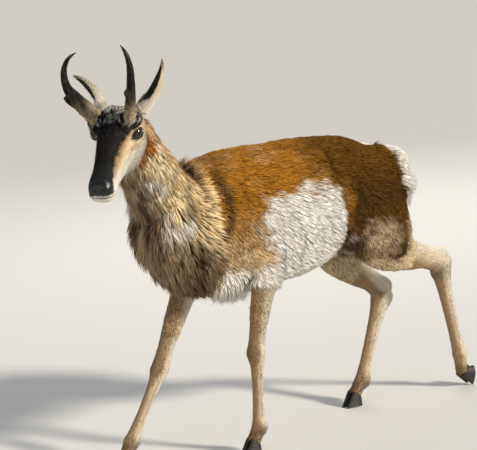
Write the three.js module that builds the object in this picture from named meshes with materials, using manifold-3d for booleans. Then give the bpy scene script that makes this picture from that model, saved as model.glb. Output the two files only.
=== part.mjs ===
// A standing pronghorn buck at life size, walking, with its head turned to its left.
// Millimetres, +Z up. The animal faces -X and its left side is at -Y.
import * as THREE from "three";
import { mergeVertices } from "three/addons/utils/BufferGeometryUtils.js";
import Module from "manifold-3d";

const wasm = await Module();
wasm.setup();

// Driving dimensions of the whole animal.
const NODE_GAP = 0.35;
const FLOOR = 0;
const LEFT = -1;
const RIGHT = 1;

const TORSO_SIDES = 26;
const NECK_SIDES = 22;
const HEAD_SIDES = 22;
const LIMB_SIDES = 12;

// Trunk sections from the brisket to the rump: x, height of the back, height of the
// widest level, height of the underside, half width, how full the upper and lower
// halves are (1 is an ellipse, less is boxier, more is more pointed), and how far the
// body lies below the tips of its locks.
const TRUNK = [
  { x: -236, back: 676, mid: 636, under: 596, half: 40, upper: 1, lower: 1, locks: 13 },
  { x: -214, back: 740, mid: 640, under: 552, half: 78, upper: 1, lower: 1, locks: 13 },
  { x: -176, back: 800, mid: 650, under: 515, half: 104, upper: 1, lower: 1, locks: 13 },
  { x: -125, back: 848, mid: 660, under: 488, half: 122, upper: 1.1, lower: 1, locks: 13 },
  { x: -60, back: 880, mid: 668, under: 472, half: 132, upper: 1.2, lower: 1, locks: 12 },
  { x: 15, back: 890, mid: 668, under: 466, half: 136, upper: 1.2, lower: 1, locks: 6 },
  { x: 100, back: 886, mid: 664, under: 462, half: 142, upper: 1.05, lower: 1, locks: 0 },
  { x: 190, back: 880, mid: 662, under: 461, half: 152, upper: 0.95, lower: 0.95, locks: 0 },
  { x: 275, back: 878, mid: 664, under: 465, half: 155, upper: 0.9, lower: 0.95, locks: 0 },
  { x: 350, back: 873, mid: 672, under: 482, half: 149, upper: 0.88, lower: 0.95, locks: 0 },
  { x: 415, back: 867, mid: 690, under: 518, half: 134, upper: 0.85, lower: 0.95, locks: 0 },
  { x: 475, back: 858, mid: 700, under: 560, half: 118, upper: 0.85, lower: 0.9, locks: 0 },
  { x: 535, back: 838, mid: 700, under: 575, half: 108, upper: 0.85, lower: 0.9, locks: 0 },
  { x: 590, back: 808, mid: 690, under: 575, half: 100, upper: 0.85, lower: 0.9, locks: 4 },
  { x: 640, back: 772, mid: 672, under: 565, half: 94, upper: 0.85, lower: 0.9, locks: 9 },
  { x: 682, back: 728, mid: 650, under: 560, half: 82, upper: 0.9, lower: 0.9, locks: 9 },
  { x: 712, back: 676, mid: 626, under: 570, half: 50, upper: 1, lower: 1, locks: 9 },
];

// Neck sections from inside the chest to inside the back of the head: centre,
// half depth towards the nape and the throat, and half width.
const NECK = [
  { at: [-60, 0, 660], nape: 110, throat: 110, half: 92, locks: 13 },
  { at: [-118, 0, 712], nape: 116, throat: 122, half: 108, locks: 13 },
  { at: [-163, -4, 770], nape: 100, throat: 112, half: 104, locks: 13 },
  { at: [-201, -16, 822], nape: 83, throat: 99, half: 95, locks: 13 },
  { at: [-236, -32, 872], nape: 76, throat: 93, half: 86, locks: 13 },
  { at: [-267, -48, 918], nape: 71, throat: 88, half: 78, locks: 11 },
  { at: [-296, -62, 960], nape: 68, throat: 80, half: 68, locks: 8 },
  { at: [-318, -74, 994], nape: 56, throat: 62, half: 54, locks: 4 },
  { at: [-336, -84, 1014], nape: 34, throat: 40, half: 36, locks: 0 },
];

// The head's own frame: the poll is its origin, u runs to the nose, v to the
// animal's left and w to the crown.
const POLL = new THREE.Vector3(-336, -81, 1039);
const TO_NOSE = new THREE.Vector3(-0.759, -0.515, -0.399).normalize();
const TO_LEFT = new THREE.Vector3(0.571, -0.821, -0.026);
const TO_CROWN = new THREE.Vector3().crossVectors(TO_NOSE, TO_LEFT).normalize();
TO_LEFT.crossVectors(TO_CROWN, TO_NOSE).normalize();

// Head sections from the nape to the nose: place along u, crown and jaw heights,
// level of the widest part, half width, and fullness of the upper and lower halves.
const HEAD = [
  { u: -40, crown: -8, mid: -34, jaw: -62, half: 24, upper: 1, lower: 1 },
  { u: -24, crown: 14, mid: -32, jaw: -86, half: 43, upper: 1, lower: 1 },
  { u: 0, crown: 30, mid: -28, jaw: -108, half: 54, upper: 0.95, lower: 1.1 },
  { u: 28, crown: 46, mid: -20, jaw: -130, half: 59, upper: 0.9, lower: 1.2 },
  { u: 58, crown: 53, mid: -12, jaw: -140, half: 60, upper: 0.85, lower: 1.25 },
  { u: 84, crown: 52, mid: -8, jaw: -136, half: 60, upper: 0.8, lower: 1.3 },
  { u: 108, crown: 47, mid: -10, jaw: -126, half: 57, upper: 0.8, lower: 1.3 },
  { u: 134, crown: 36, mid: -20, jaw: -117, half: 50, upper: 0.85, lower: 1.25 },
  { u: 162, crown: 20, mid: -34, jaw: -109, half: 42, upper: 0.85, lower: 1.15 },
  { u: 192, crown: 3, mid: -46, jaw: -103, half: 37, upper: 0.85, lower: 1.1 },
  { u: 222, crown: -12, mid: -54, jaw: -100, half: 35, upper: 0.82, lower: 1 },
  { u: 250, crown: -23, mid: -60, jaw: -99, half: 33, upper: 0.8, lower: 0.9 },
  { u: 272, crown: -31, mid: -63, jaw: -95, half: 29, upper: 0.8, lower: 0.85 },
  { u: 286, crown: -41, mid: -64, jaw: -84, half: 21, upper: 0.85, lower: 0.85 },
];

const EYE = { u: 86, v: 51, w: 1, radius: 18.5 };
const LID_THICKNESS = 3;
const LID_OPENING = { u: 87, v: 73, w: 2, radii: [17, 20, 11] };

// Chin and upper lips as balls on the muzzle, the mouth line between them and the
// nostrils, in the head's frame. The mouth line is a thin box, cut only skin deep.
const CHIN = { at: [262, 0, -86], radii: [21, 19, 12] };
const UPPER_LIP = { at: [266, 12, -66], radii: [21, 16, 15] };
const MOUTH = { at: [268, 0, -80], size: [74, 90, 1.8], tilt: 4, deep: 3 };
const NOSTRIL = { at: [283, 13, -55], radii: [9, 4, 6.5] };

// Horn spine from inside the skull to the tip, in the head's frame, with the blade's
// full depth fore and aft and its full thickness.
const HORN = [
  { at: [72, 43, 34], deep: 48, thick: 32 },
  { at: [80, 50, 50], deep: 56, thick: 36 },
  { at: [97, 66, 92], deep: 54, thick: 32 },
  { at: [112, 81, 134], deep: 52, thick: 27 },
  { at: [119, 92, 172], deep: 36, thick: 24 },
  { at: [112, 96, 207], deep: 28, thick: 20 },
  { at: [101, 92, 232], deep: 21, thick: 16 },
  { at: [86, 80, 250], deep: 14, thick: 11 },
  { at: [66, 64, 254], deep: 5, thick: 5 },
];
const PRONG = [
  { at: [112, 78, 126], deep: 46, thick: 22 },
  { at: [136, 83, 148], deep: 30, thick: 15 },
  { at: [160, 85, 166], deep: 8, thick: 6 },
];
const HORN_HEIGHT = { left: 1.04, right: 0.97 };

// Ears: base and tip in the head's frame, and sections along the ear: full width,
// full depth and how far the tip curls towards the opening.
const EARS = {
  left: { base: [12, 52, 20], tip: [-43, 138, 146], opens: [0.75, -0.5, 0.1] },
  right: { base: [12, -50, 20], tip: [-78, -146, 86], opens: [0.6, -0.6, -0.2] },
};
const EAR = [
  { t: 0, wide: 30, deep: 30, curl: 0 },
  { t: 0.16, wide: 42, deep: 36, curl: -2 },
  { t: 0.34, wide: 56, deep: 38, curl: -5 },
  { t: 0.54, wide: 60, deep: 32, curl: -6 },
  { t: 0.72, wide: 48, deep: 24, curl: -3 },
  { t: 0.87, wide: 28, deep: 15, curl: 3 },
  { t: 1, wide: 7, deep: 6, curl: 12 },
];
const EAR_WALL = 3.2;

// Lock sizes: length along the coat's lie, width, thickness, and how deep the root is
// sunk. Each patch is rows of locks over a stretch of one body: first and last section,
// rows, locks in a row, the part of the section that they cover in turns (0 is the
// animal's right, 0.25 the top), how far they turn from the body's length, and the
// height of the middle and the tip over the skin.
const LOCK = { thickness: 4, sink: 8, seed: 20 };
const RUFF = {
  first: 6.1,
  last: 1.7,
  rows: 7,
  each: 10,
  around: [0, 1],
  length: 96,
  width: 44,
  turn: 0,
  middle: 13,
  tip: 17,
};
const CHEST = {
  first: 0.2,
  last: 4.6,
  rows: 5,
  each: 8,
  around: [0.45, 1.05],
  length: 92,
  width: 46,
  turn: 0,
  middle: 12,
  tip: 16,
};
const WITHERS = {
  first: 3.4,
  last: 5,
  rows: 2,
  each: 6,
  around: [0.08, 0.42],
  length: 84,
  width: 40,
  turn: 0,
  middle: 11,
  tip: 12,
};
const RUMP = {
  first: 13.2,
  last: 15.4,
  rows: 3,
  each: 6,
  around: [0.06, 0.44],
  length: 54,
  width: 36,
  turn: 0,
  middle: 9,
  tip: 12,
};
const BRISKET = {
  first: 5,
  last: 6.2,
  rows: 2,
  each: 4,
  around: [0.68, 0.82],
  length: 70,
  width: 30,
  turn: 0,
  middle: 12,
  tip: 10,
};

// Tail: centres from inside the rump, with full width and depth.
const TAIL = [
  { at: [682, 0, 712], wide: 40, deep: 34 },
  { at: [712, 0, 702], wide: 46, deep: 34 },
  { at: [734, 0, 676], wide: 48, deep: 30 },
  { at: [744, 0, 646], wide: 40, deep: 24 },
  { at: [748, 0, 616], wide: 14, deep: 10 },
];

// Leg joints, in body coordinates. The near fore and far hind feet carry the step.
const LEGS = {
  left: {
    side: LEFT,
    shoulder: [35, -88, 640],
    elbow: [74, -104, 515],
    knee: [22, -105, 299],
    foreFetlock: [8, -103, 73],
    foreSole: [-24, -103],
    foreTilt: 0,
    hip: [600, -78, 735],
    stifle: [500, -98, 545],
    hock: [764, -92, 416],
    hindFetlock: [846, -70, 108],
    hindSole: [886, -70],
    hindTilt: 82,
  },
  right: {
    side: RIGHT,
    shoulder: [-20, 84, 620],
    elbow: [-62, 98, 500],
    knee: [-178, 98, 268],
    foreFetlock: [-314, 82, 84],
    foreSole: [-352, 84],
    foreTilt: 0,
    hip: [598, 78, 735],
    stifle: [500, 108, 525],
    hock: [678, 88, 322],
    hindFetlock: [548, 60, 70],
    hindSole: [502, 54],
    hindTilt: 0,
  },
};

// Limb sections: share of the way along the bone, full depth fore and aft, full
// width, and how far the section sits behind the bone's line.
const ARM = { start: 0.4, section: { t: 0, deep: 118, wide: 60, behind: 0 } };
const FORE_UPPER = [
  { t: -0.2, deep: 112, wide: 66, behind: 4 },
  { t: 0.02, deep: 96, wide: 62, behind: 8 },
  { t: 0.2, deep: 78, wide: 56, behind: 6 },
  { t: 0.42, deep: 62, wide: 50, behind: 2 },
  { t: 0.65, deep: 52, wide: 45, behind: 0 },
  { t: 0.85, deep: 50, wide: 45, behind: 0 },
  { t: 1, deep: 54, wide: 48, behind: 0 },
];
const FORE_LOWER = [
  { t: 0, deep: 54, wide: 48, behind: 0 },
  { t: 0.08, deep: 52, wide: 46, behind: 0 },
  { t: 0.18, deep: 42, wide: 38, behind: 2 },
  { t: 0.38, deep: 34, wide: 32, behind: 2 },
  { t: 0.65, deep: 32, wide: 30, behind: 1 },
  { t: 0.87, deep: 37, wide: 33, behind: 1 },
  { t: 1, deep: 46, wide: 39, behind: 2 },
];
const THIGH = [
  { t: -0.25, deep: 60, wide: 44, behind: -50 },
  { t: 0.02, deep: 140, wide: 78, behind: -34 },
  { t: 0.3, deep: 200, wide: 96, behind: -8 },
  { t: 0.6, deep: 248, wide: 100, behind: 18 },
  { t: 0.9, deep: 254, wide: 94, behind: 46 },
  { t: 1.12, deep: 200, wide: 82, behind: 62 },
];
const SHANK = [
  { t: -0.1, deep: 150, wide: 80, behind: 0 },
  { t: 0.15, deep: 150, wide: 76, behind: -9 },
  { t: 0.4, deep: 124, wide: 64, behind: -10 },
  { t: 0.62, deep: 94, wide: 52, behind: -6 },
  { t: 0.8, deep: 74, wide: 42, behind: 4 },
  { t: 1, deep: 78, wide: 45, behind: 12 },
  { t: 1.08, deep: 54, wide: 36, behind: 12 },
];
const HIND_LOWER = [
  { t: -0.07, deep: 54, wide: 36, behind: 6 },
  { t: 0, deep: 80, wide: 47, behind: 10 },
  { t: 0.08, deep: 78, wide: 47, behind: 8 },
  { t: 0.2, deep: 57, wide: 39, behind: 6 },
  { t: 0.42, deep: 44, wide: 34, behind: 3 },
  { t: 0.7, deep: 40, wide: 33, behind: 2 },
  { t: 0.88, deep: 43, wide: 36, behind: 2 },
  { t: 1, deep: 50, wide: 41, behind: 3 },
];
const PASTERN = [
  { t: 0.5, deep: 38, wide: 36, behind: 0 },
  { t: 1, deep: 42, wide: 44, behind: 0 },
];

// Hoof, in its own frame: x forward, z up, over a sole at z = 0.
const HOOF = {
  coronetBack: 8,
  coronetHeight: 36,
  coronetDeep: 19,
  coronetHalf: 9.8,
  slope: 53,
  toe: 38,
  heel: 24,
  half: 12.2,
};

const COLOURS = {
  tan: 0xb0763a,
  cream: 0xd9c3a0,
  white: 0xe8e2d6,
  dark: 0x2c221c,
  horn: 0x2a2623,
  hoof: 0x2b2622,
  eye: 0x120d0a,
};

// Small vector and ring helpers.
const vec = (p) => new THREE.Vector3(...p);
const lerp = (a, b, t) => a.clone().lerp(b, t);
const radians = THREE.MathUtils.degToRad;

function headPoint(u, v, w) {
  return POLL.clone()
    .addScaledVector(TO_NOSE, u)
    .addScaledVector(TO_LEFT, v)
    .addScaledVector(TO_CROWN, w);
}

// One closed section: sideways by `half`, up by `top`, down by `bottom`.
function ring(centre, side, up, shape, sides) {
  const points = [];
  for (let k = 0; k < sides; k++) {
    const angle = (2 * Math.PI * k) / sides;
    const c = Math.cos(angle);
    const s = Math.sin(angle);
    const fullness = s > 0 ? (shape.upper ?? 1) : (shape.lower ?? 1);
    const across = Math.sign(c) * Math.abs(c) ** fullness * shape.half;
    const rise = s > 0 ? s * shape.top : s * shape.bottom;
    points.push(centre.clone().addScaledVector(side, across).addScaledVector(up, rise));
  }
  return points;
}

// A closed body through rings of equal count, with a fan of triangles on each end.
function loft(rings) {
  const sides = rings[0].length;
  const positions = rings.flat();
  const faces = [];
  for (let r = 0; r + 1 < rings.length; r++) {
    for (let k = 0; k < sides; k++) {
      const a = r * sides + k;
      const b = r * sides + ((k + 1) % sides);
      faces.push(a, b, a + sides, b, b + sides, a + sides);
    }
  }
  const caps = [
    [0, true],
    [(rings.length - 1) * sides, false],
  ];
  for (const [start, first] of caps) {
    const middle = new THREE.Vector3();
    for (let k = 0; k < sides; k++) middle.addScaledVector(positions[start + k], 1 / sides);
    const hub = positions.push(middle) - 1;
    for (let k = 0; k < sides; k++) {
      const a = start + k;
      const b = start + ((k + 1) % sides);
      faces.push(...(first ? [b, a, hub] : [a, b, hub]));
    }
  }
  return solidFrom(positions, faces);
}

// A manifold solid from points and triangles, turned outwards if it was inside out.
function solidFrom(positions, faces) {
  const vertProperties = new Float32Array(positions.flatMap((p) => [p.x, p.y, p.z]));
  const build = (order) =>
    new wasm.Manifold(
      new wasm.Mesh({ numProp: 3, vertProperties, triVerts: new Uint32Array(order) }),
    );
  const made = build(faces);
  if (made.volume() > 0) return made;
  const turned = [];
  for (let i = 0; i < faces.length; i += 3) turned.push(faces[i], faces[i + 2], faces[i + 1]);
  return build(turned);
}

// The solid of a three.js geometry.
function solidOf(geometry) {
  const bare = geometry.clone();
  bare.deleteAttribute("normal");
  bare.deleteAttribute("uv");
  const merged = mergeVertices(bare, 1e-3);
  const place = merged.getAttribute("position");
  const positions = [];
  for (let i = 0; i < place.count; i++) {
    positions.push(new THREE.Vector3().fromBufferAttribute(place, i));
  }
  return solidFrom(positions, Array.from(merged.index.array));
}

function ball(centre, radii, axes, across = 16, down = 10) {
  const geometry = new THREE.SphereGeometry(1, across, down);
  const [a, b, c] = axes;
  const basis = new THREE.Matrix4().makeBasis(
    a.clone().multiplyScalar(radii[0]),
    b.clone().multiplyScalar(radii[1]),
    c.clone().multiplyScalar(radii[2]),
  );
  basis.setPosition(centre);
  geometry.applyMatrix4(basis);
  return solidOf(geometry);
}

// The largest closed surface of a solid, with any sealed hollow filled.
function largest(solid) {
  const bodies = solid.decompose();
  return bodies.reduce((best, one) => (one.volume() > best.volume() ? one : best));
}

const X_AXIS = new THREE.Vector3(1, 0, 0);
const Y_AXIS = new THREE.Vector3(0, 1, 0);
const Z_AXIS = new THREE.Vector3(0, 0, 1);
const HEAD_AXES = [TO_NOSE, TO_LEFT, TO_CROWN];

// Everything below the floor is cut away from what is passed in.
function aboveFloor(solid) {
  const slab = new THREE.BoxGeometry(3000, 1000, 400);
  slab.translate(0, 0, FLOOR - 200);
  return solid.subtract(solidOf(slab));
}

// Trunk, neck and head cores. `grow` swells a core so that a neighbour can be cut
// back from it by the gap.
function trunkRings(grow) {
  return TRUNK.map((s, i) => {
    const swell = grow - s.locks;
    const end = i === 0 ? -swell : i === TRUNK.length - 1 ? swell : 0;
    const shape = {
      half: s.half + swell,
      top: s.back - s.mid + swell,
      bottom: s.mid - s.under + swell,
      upper: s.upper,
      lower: s.lower,
    };
    return ring(new THREE.Vector3(s.x + end, 0, s.mid), Y_AXIS, Z_AXIS, shape, TORSO_SIDES);
  });
}

function neckRings(grow) {
  const centres = NECK.map((s) => vec(s.at));
  return NECK.map((s, i) => {
    const before = centres[Math.max(i - 1, 0)];
    const after = centres[Math.min(i + 1, NECK.length - 1)];
    const along = after.clone().sub(before).normalize();
    const side = new THREE.Vector3().crossVectors(along, X_AXIS).normalize();
    const up = new THREE.Vector3().crossVectors(along, side).normalize();
    if (up.x < 0) up.negate();
    const swell = grow - s.locks;
    const shape = { half: s.half + swell, top: s.nape + swell, bottom: s.throat + swell };
    return ring(centres[i], side, up, shape, NECK_SIDES);
  });
}

// A place on a ringed surface, by fractional section and fractional turn, with the
// outward direction and the steps along and around the body.
function skinPoint(rings, section, turn) {
  const sides = rings[0].length;
  const row = THREE.MathUtils.clamp(section, 0, rings.length - 1.001);
  const place = (((turn % 1) + 1) % 1) * sides;
  const r = Math.floor(row);
  const k = Math.floor(place) % sides;
  const near = lerp(rings[r][k], rings[r + 1][k], row - r);
  const far = lerp(rings[r][(k + 1) % sides], rings[r + 1][(k + 1) % sides], row - r);
  return near.lerp(far, place - Math.floor(place));
}

function skinFrame(rings, section, turn) {
  const half = 0.3;
  const slice = 0.02;
  const along = skinPoint(rings, section + half, turn)
    .sub(skinPoint(rings, section - half, turn))
    .divideScalar(2 * half);
  const around = skinPoint(rings, section, turn + slice)
    .sub(skinPoint(rings, section, turn - slice))
    .divideScalar(2 * slice);
  const out = new THREE.Vector3().crossVectors(along, around).normalize();
  const point = skinPoint(rings, section, turn);
  const inner = skinPoint(rings, section, turn + 0.5);
  if (out.dot(point.clone().sub(inner)) < 0) out.negate();
  return { point, out, along, around };
}

// One flat lock that leaves the skin at a root and follows the surface to its tip.
function lockSolid(rings, root, size, grow) {
  const start = skinFrame(rings, root.section, root.turn);
  const acrossStep = (Math.sin(size.turn) * size.length) / start.around.length();
  const alongStep = (Math.cos(size.turn) * size.length) / start.along.length();
  const stations = [
    { share: 0, height: -LOCK.sink, wide: 0.55, thick: 0.9 },
    { share: 0.34, height: size.middle * 0.55, wide: 1, thick: 1 },
    { share: 0.7, height: size.middle, wide: 0.66, thick: 0.8 },
    { share: 1, height: size.tip, wide: 0.05, thick: 0.12 },
  ];
  const centres = stations.map(({ share, height }) => {
    const section = root.section + size.lie * alongStep * share;
    const frame = skinFrame(rings, section, root.turn + acrossStep * share);
    return { at: frame.point.addScaledVector(frame.out, height), out: frame.out };
  });
  const sections = stations.map(({ wide, thick }, i) => {
    const before = centres[Math.max(i - 1, 0)].at;
    const after = centres[Math.min(i + 1, 3)].at;
    const along = after.clone().sub(before).normalize();
    const side = new THREE.Vector3().crossVectors(along, centres[i].out).normalize();
    const up = new THREE.Vector3().crossVectors(side, along).normalize();
    const half = (size.width / 2) * wide + grow;
    const thickness = (LOCK.thickness / 2) * thick + grow;
    return [
      centres[i].at.clone().addScaledVector(side, half),
      centres[i].at.clone().addScaledVector(up, thickness),
      centres[i].at.clone().addScaledVector(side, -half),
      centres[i].at.clone().addScaledVector(up, -thickness),
    ];
  });
  return loft(sections);
}

// Rows of locks over one patch, set off by half a step from row to row.
function lockPatch(rings, patch, lie, grow, seed) {
  const random = randomFrom(LOCK.seed + seed);
  const locks = [];
  const { first, last, rows, each, around } = patch;
  for (let row = 0; row < rows; row++) {
    const section = first + ((last - first) * row) / Math.max(rows - 1, 1);
    for (let i = 0; i < each; i++) {
      const share = (i + 0.5 * (row % 2) + 0.25 + 0.3 * (random() - 0.5)) / each;
      const turn = around[0] + (around[1] - around[0]) * share;
      const size = {
        lie,
        length: patch.length * (0.85 + 0.3 * random()),
        width: patch.width * (0.85 + 0.3 * random()),
        turn: patch.turn + 0.24 * (random() - 0.5),
        middle: patch.middle * (0.94 + 0.12 * random()),
        tip: patch.tip * (0.9 + 0.25 * random()),
      };
      const root = { section: section + 0.15 * (random() - 0.5), turn };
      locks.push(lockSolid(rings, root, size, grow));
    }
  }
  return wasm.Manifold.union(locks);
}

// A seeded run of numbers from 0 to 1.
function randomFrom(seed) {
  let state = seed * 7919 + 17;
  return () => {
    state = (state * 16807) % 2147483647;
    return state / 2147483647;
  };
}

function headCore(grow) {
  const rings = HEAD.map((s, i) => {
    const end = i === 0 ? -grow : i === HEAD.length - 1 ? grow : 0;
    const shape = {
      half: s.half + grow,
      top: s.crown - s.mid + grow,
      bottom: s.mid - s.jaw + grow,
      upper: s.upper,
      lower: s.lower,
    };
    return ring(headPoint(s.u + end, 0, s.mid), TO_LEFT, TO_CROWN, shape, HEAD_SIDES);
  });
  return loft(rings);
}

// Limb pieces. The fore and aft axis of a section stays in the leg's own plane.
function limb(spans, grow = 0) {
  const rings = [];
  for (const { from, to, sections, endAlong } of spans) {
    const along = to.clone().sub(from).normalize();
    for (const s of sections) {
      const centre = from.clone().lerp(to, s.t);
      rings.push({ centre, along: s.t === 1 && endAlong ? endAlong : along, s });
    }
  }
  rings[0].centre.addScaledVector(rings[0].along, -grow);
  rings.at(-1).centre.addScaledVector(rings.at(-1).along, grow);
  return loft(
    rings.map(({ centre, along, s }) => {
      const aft = new THREE.Vector3().crossVectors(along, Y_AXIS).normalize();
      if (aft.x < 0) aft.negate();
      const side = new THREE.Vector3().crossVectors(aft, along).normalize();
      const shape = { half: s.wide / 2 + grow, top: s.deep / 2 + grow, bottom: s.deep / 2 + grow };
      const middle = centre.clone().addScaledVector(aft, s.behind);
      return ring(middle, side, aft, shape, LIMB_SIDES);
    }),
  );
}

// An oval-sectioned body along a spine, such as a horn, a prong or the tail.
function spineLoft(stations, place, sideHint, sides, grow = 0) {
  const centres = stations.map((s) => place(s.at));
  const end = centres.length - 1;
  const rings = stations.map((s, i) => {
    const before = centres[Math.max(i - 1, 0)];
    const after = centres[Math.min(i + 1, end)];
    const along = after.clone().sub(before).normalize();
    const side = sideHint.clone().addScaledVector(along, -sideHint.dot(along)).normalize();
    const up = new THREE.Vector3().crossVectors(side, along).normalize();
    const reach = i === 0 ? -grow : i === end ? grow : 0;
    const centre = centres[i].clone().addScaledVector(along, reach);
    const shape = { half: s.thick / 2 + grow, top: s.deep / 2 + grow, bottom: s.deep / 2 + grow };
    return ring(centre, side, up, shape, sides);
  });
  return loft(rings);
}

function hornSolid(word, side, grow) {
  const height = HORN_HEIGHT[word];
  const place = ([u, v, w]) => headPoint(u, -side * v, w * height);
  const blade = spineLoft(HORN, place, TO_LEFT, 12, grow);
  return blade.add(spineLoft(PRONG, place, TO_LEFT, 8, grow));
}

// An ear: a pointed shell, opened by a smaller shell set towards its opening.
function earSolid(word, grow, hollow) {
  const { base, tip, opens } = EARS[word];
  const root = headPoint(...base);
  const end = headPoint(...tip);
  const along = end.clone().sub(root).normalize();
  const facing = new THREE.Vector3()
    .addScaledVector(TO_NOSE, opens[0])
    .addScaledVector(TO_LEFT, opens[1])
    .addScaledVector(TO_CROWN, opens[2]);
  facing.addScaledVector(along, -facing.dot(along)).normalize();
  const side = new THREE.Vector3().crossVectors(along, facing);
  const shell = (inset, shift, from, to) =>
    loft(
      EAR.filter((s) => s.t >= from && s.t <= to).map((s) => {
        const centre = lerp(root, end, s.t).addScaledVector(facing, s.curl + shift * s.deep);
        const half = s.wide / 2 + grow - inset;
        const depth = Math.max(s.deep / 2 + grow - inset * 0.4, 1);
        const shape = { half: Math.max(half, 1), top: depth, bottom: depth };
        return ring(centre, side, facing, shape, 12);
      }),
    );
  const outer = shell(0, 0, 0, 1);
  if (!hollow) return outer;
  return outer.subtract(shell(EAR_WALL, 0.36, 0.1, 0.9));
}

// Where a foot stands: its sole's centre, and the tilt that lifts the heel.
function footFrame(sole, tilt) {
  const turn = new THREE.Matrix4().makeRotationY(radians(-tilt));
  const toe = new THREE.Vector3(-HOOF.toe, 0, 0).applyMatrix4(turn);
  const heel = new THREE.Vector3(HOOF.heel, 0, 0).applyMatrix4(turn);
  const lift = -Math.min(toe.z, heel.z);
  const place = new THREE.Vector3(sole[0], sole[1], lift);
  return new THREE.Matrix4().makeTranslation(place).multiply(turn);
}

function coronet(frame, drop) {
  const slope = radians(HOOF.slope);
  const along = new THREE.Vector3(-Math.cos(slope), 0, -Math.sin(slope));
  const centre = new THREE.Vector3(HOOF.coronetBack, 0, HOOF.coronetHeight);
  centre.addScaledVector(along, drop).applyMatrix4(frame);
  return { centre, along: along.transformDirection(frame) };
}

// One toe of the cloven hoof.
function toe(frame, side) {
  const sides = 12;
  const top = coronet(frame, NODE_GAP);
  const back = new THREE.Vector3().crossVectors(Y_AXIS, top.along).normalize();
  if (back.x < 0) back.negate();
  const rings = [];
  const levels = [
    { share: 0, grow: 1 },
    { share: 0.5, grow: 1.04 },
    { share: 0.92, grow: 1.08 },
    { share: 1, grow: 1.04 },
  ];
  const middle = side * HOOF.half;
  for (const { share, grow } of levels) {
    const points = [];
    for (let k = 0; k < sides; k++) {
      const angle = (2 * Math.PI * k) / sides;
      const c = Math.cos(angle);
      const s = Math.sin(angle);
      const crown = top.centre
        .clone()
        .addScaledVector(back, -c * HOOF.coronetDeep)
        .addScaledVector(Y_AXIS, middle + s * HOOF.coronetHalf);
      const reach = c > 0 ? HOOF.toe : HOOF.heel;
      const narrow = c > 0 ? 1 - 0.42 * c * c : 1;
      const ground = new THREE.Vector3(-c * reach, middle + s * HOOF.half * narrow, 0);
      ground.applyMatrix4(frame);
      const point = crown.lerp(ground, share);
      const outward = side * (point.y - frame.elements[13]);
      const spread = HOOF.half + (outward - HOOF.half) * grow;
      point.y = frame.elements[13] + side * Math.max(spread, NODE_GAP);
      points.push(point);
    }
    rings.push(points);
  }
  return aboveFloor(loft(rings));
}

function armSpan(leg) {
  const from = vec(leg.shoulder).lerp(vec(leg.elbow), ARM.start);
  return { from, to: vec(leg.elbow), sections: [ARM.section] };
}

function forearmSpan(leg) {
  return { from: vec(leg.elbow), to: vec(leg.knee), sections: FORE_UPPER };
}

function thighSpan(leg) {
  return { from: vec(leg.hip), to: vec(leg.stifle), sections: THIGH };
}

const model = new THREE.Group();

function addNode(name, solid, colour, roughness = 0.85) {
  const mesh = solid.getMesh();
  const geometry = new THREE.BufferGeometry();
  const stride = mesh.numProp;
  const place = new Float32Array(mesh.numVert * 3);
  for (let i = 0; i < mesh.numVert; i++) {
    place.set(mesh.vertProperties.subarray(i * stride, i * stride + 3), i * 3);
  }
  geometry.setAttribute("position", new THREE.BufferAttribute(place, 3));
  geometry.setIndex(new THREE.BufferAttribute(new Uint32Array(mesh.triVerts), 1));
  const material = new THREE.MeshStandardMaterial({ color: colour, roughness, metalness: 0 });
  const node = new THREE.Mesh(geometry, material);
  node.name = name;
  model.add(node);
}

// Torso, neck and head.
const trunkClear = loft(trunkRings(NODE_GAP));
const headClear = headCore(NODE_GAP);
const tailStations = TAIL.map((s) => ({ ...s, thick: s.wide }));
const tailCore = (grow) => spineLoft(tailStations, vec, Y_AXIS, 10, grow);

function neckCoat(grow) {
  const rings = neckRings(0);
  return loft(neckRings(grow)).add(lockPatch(rings, RUFF, -1, grow, 1));
}

const trunkLocks = wasm.Manifold.union(
  [CHEST, WITHERS, RUMP, BRISKET].map((patch, i) => lockPatch(trunkRings(0), patch, 1, 0, 10 + i)),
);
const trunkNeighbours = [neckCoat(NODE_GAP), tailCore(NODE_GAP)];
for (const leg of Object.values(LEGS)) {
  trunkNeighbours.push(limb([armSpan(leg), forearmSpan(leg)], NODE_GAP));
  trunkNeighbours.push(limb([thighSpan(leg)], NODE_GAP));
}
const clearLocks = trunkLocks.subtract(wasm.Manifold.union(trunkNeighbours));
addNode("torso", largest(loft(trunkRings(0)).add(clearLocks)), COLOURS.tan);
addNode("neck", largest(neckCoat(0).subtract(trunkClear).subtract(headClear)), COLOURS.cream);

function eyeCentre(side) {
  return headPoint(EYE.u, -side * EYE.v, EYE.w);
}

let head = headCore(0);
for (const side of [LEFT, RIGHT]) {
  const centre = eyeCentre(side);
  const lids = EYE.radius + LID_THICKNESS;
  head = head.add(ball(centre, [lids + LID_THICKNESS, lids, lids], HEAD_AXES, 12, 8));
}
for (const side of [LEFT, RIGHT]) {
  const socket = EYE.radius + NODE_GAP;
  head = head.subtract(ball(eyeCentre(side), [socket, socket, socket], HEAD_AXES, 12, 8));
  const opening = headPoint(LID_OPENING.u, -side * LID_OPENING.v, LID_OPENING.w);
  head = head.subtract(ball(opening, LID_OPENING.radii, HEAD_AXES, 12, 6));
}

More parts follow.
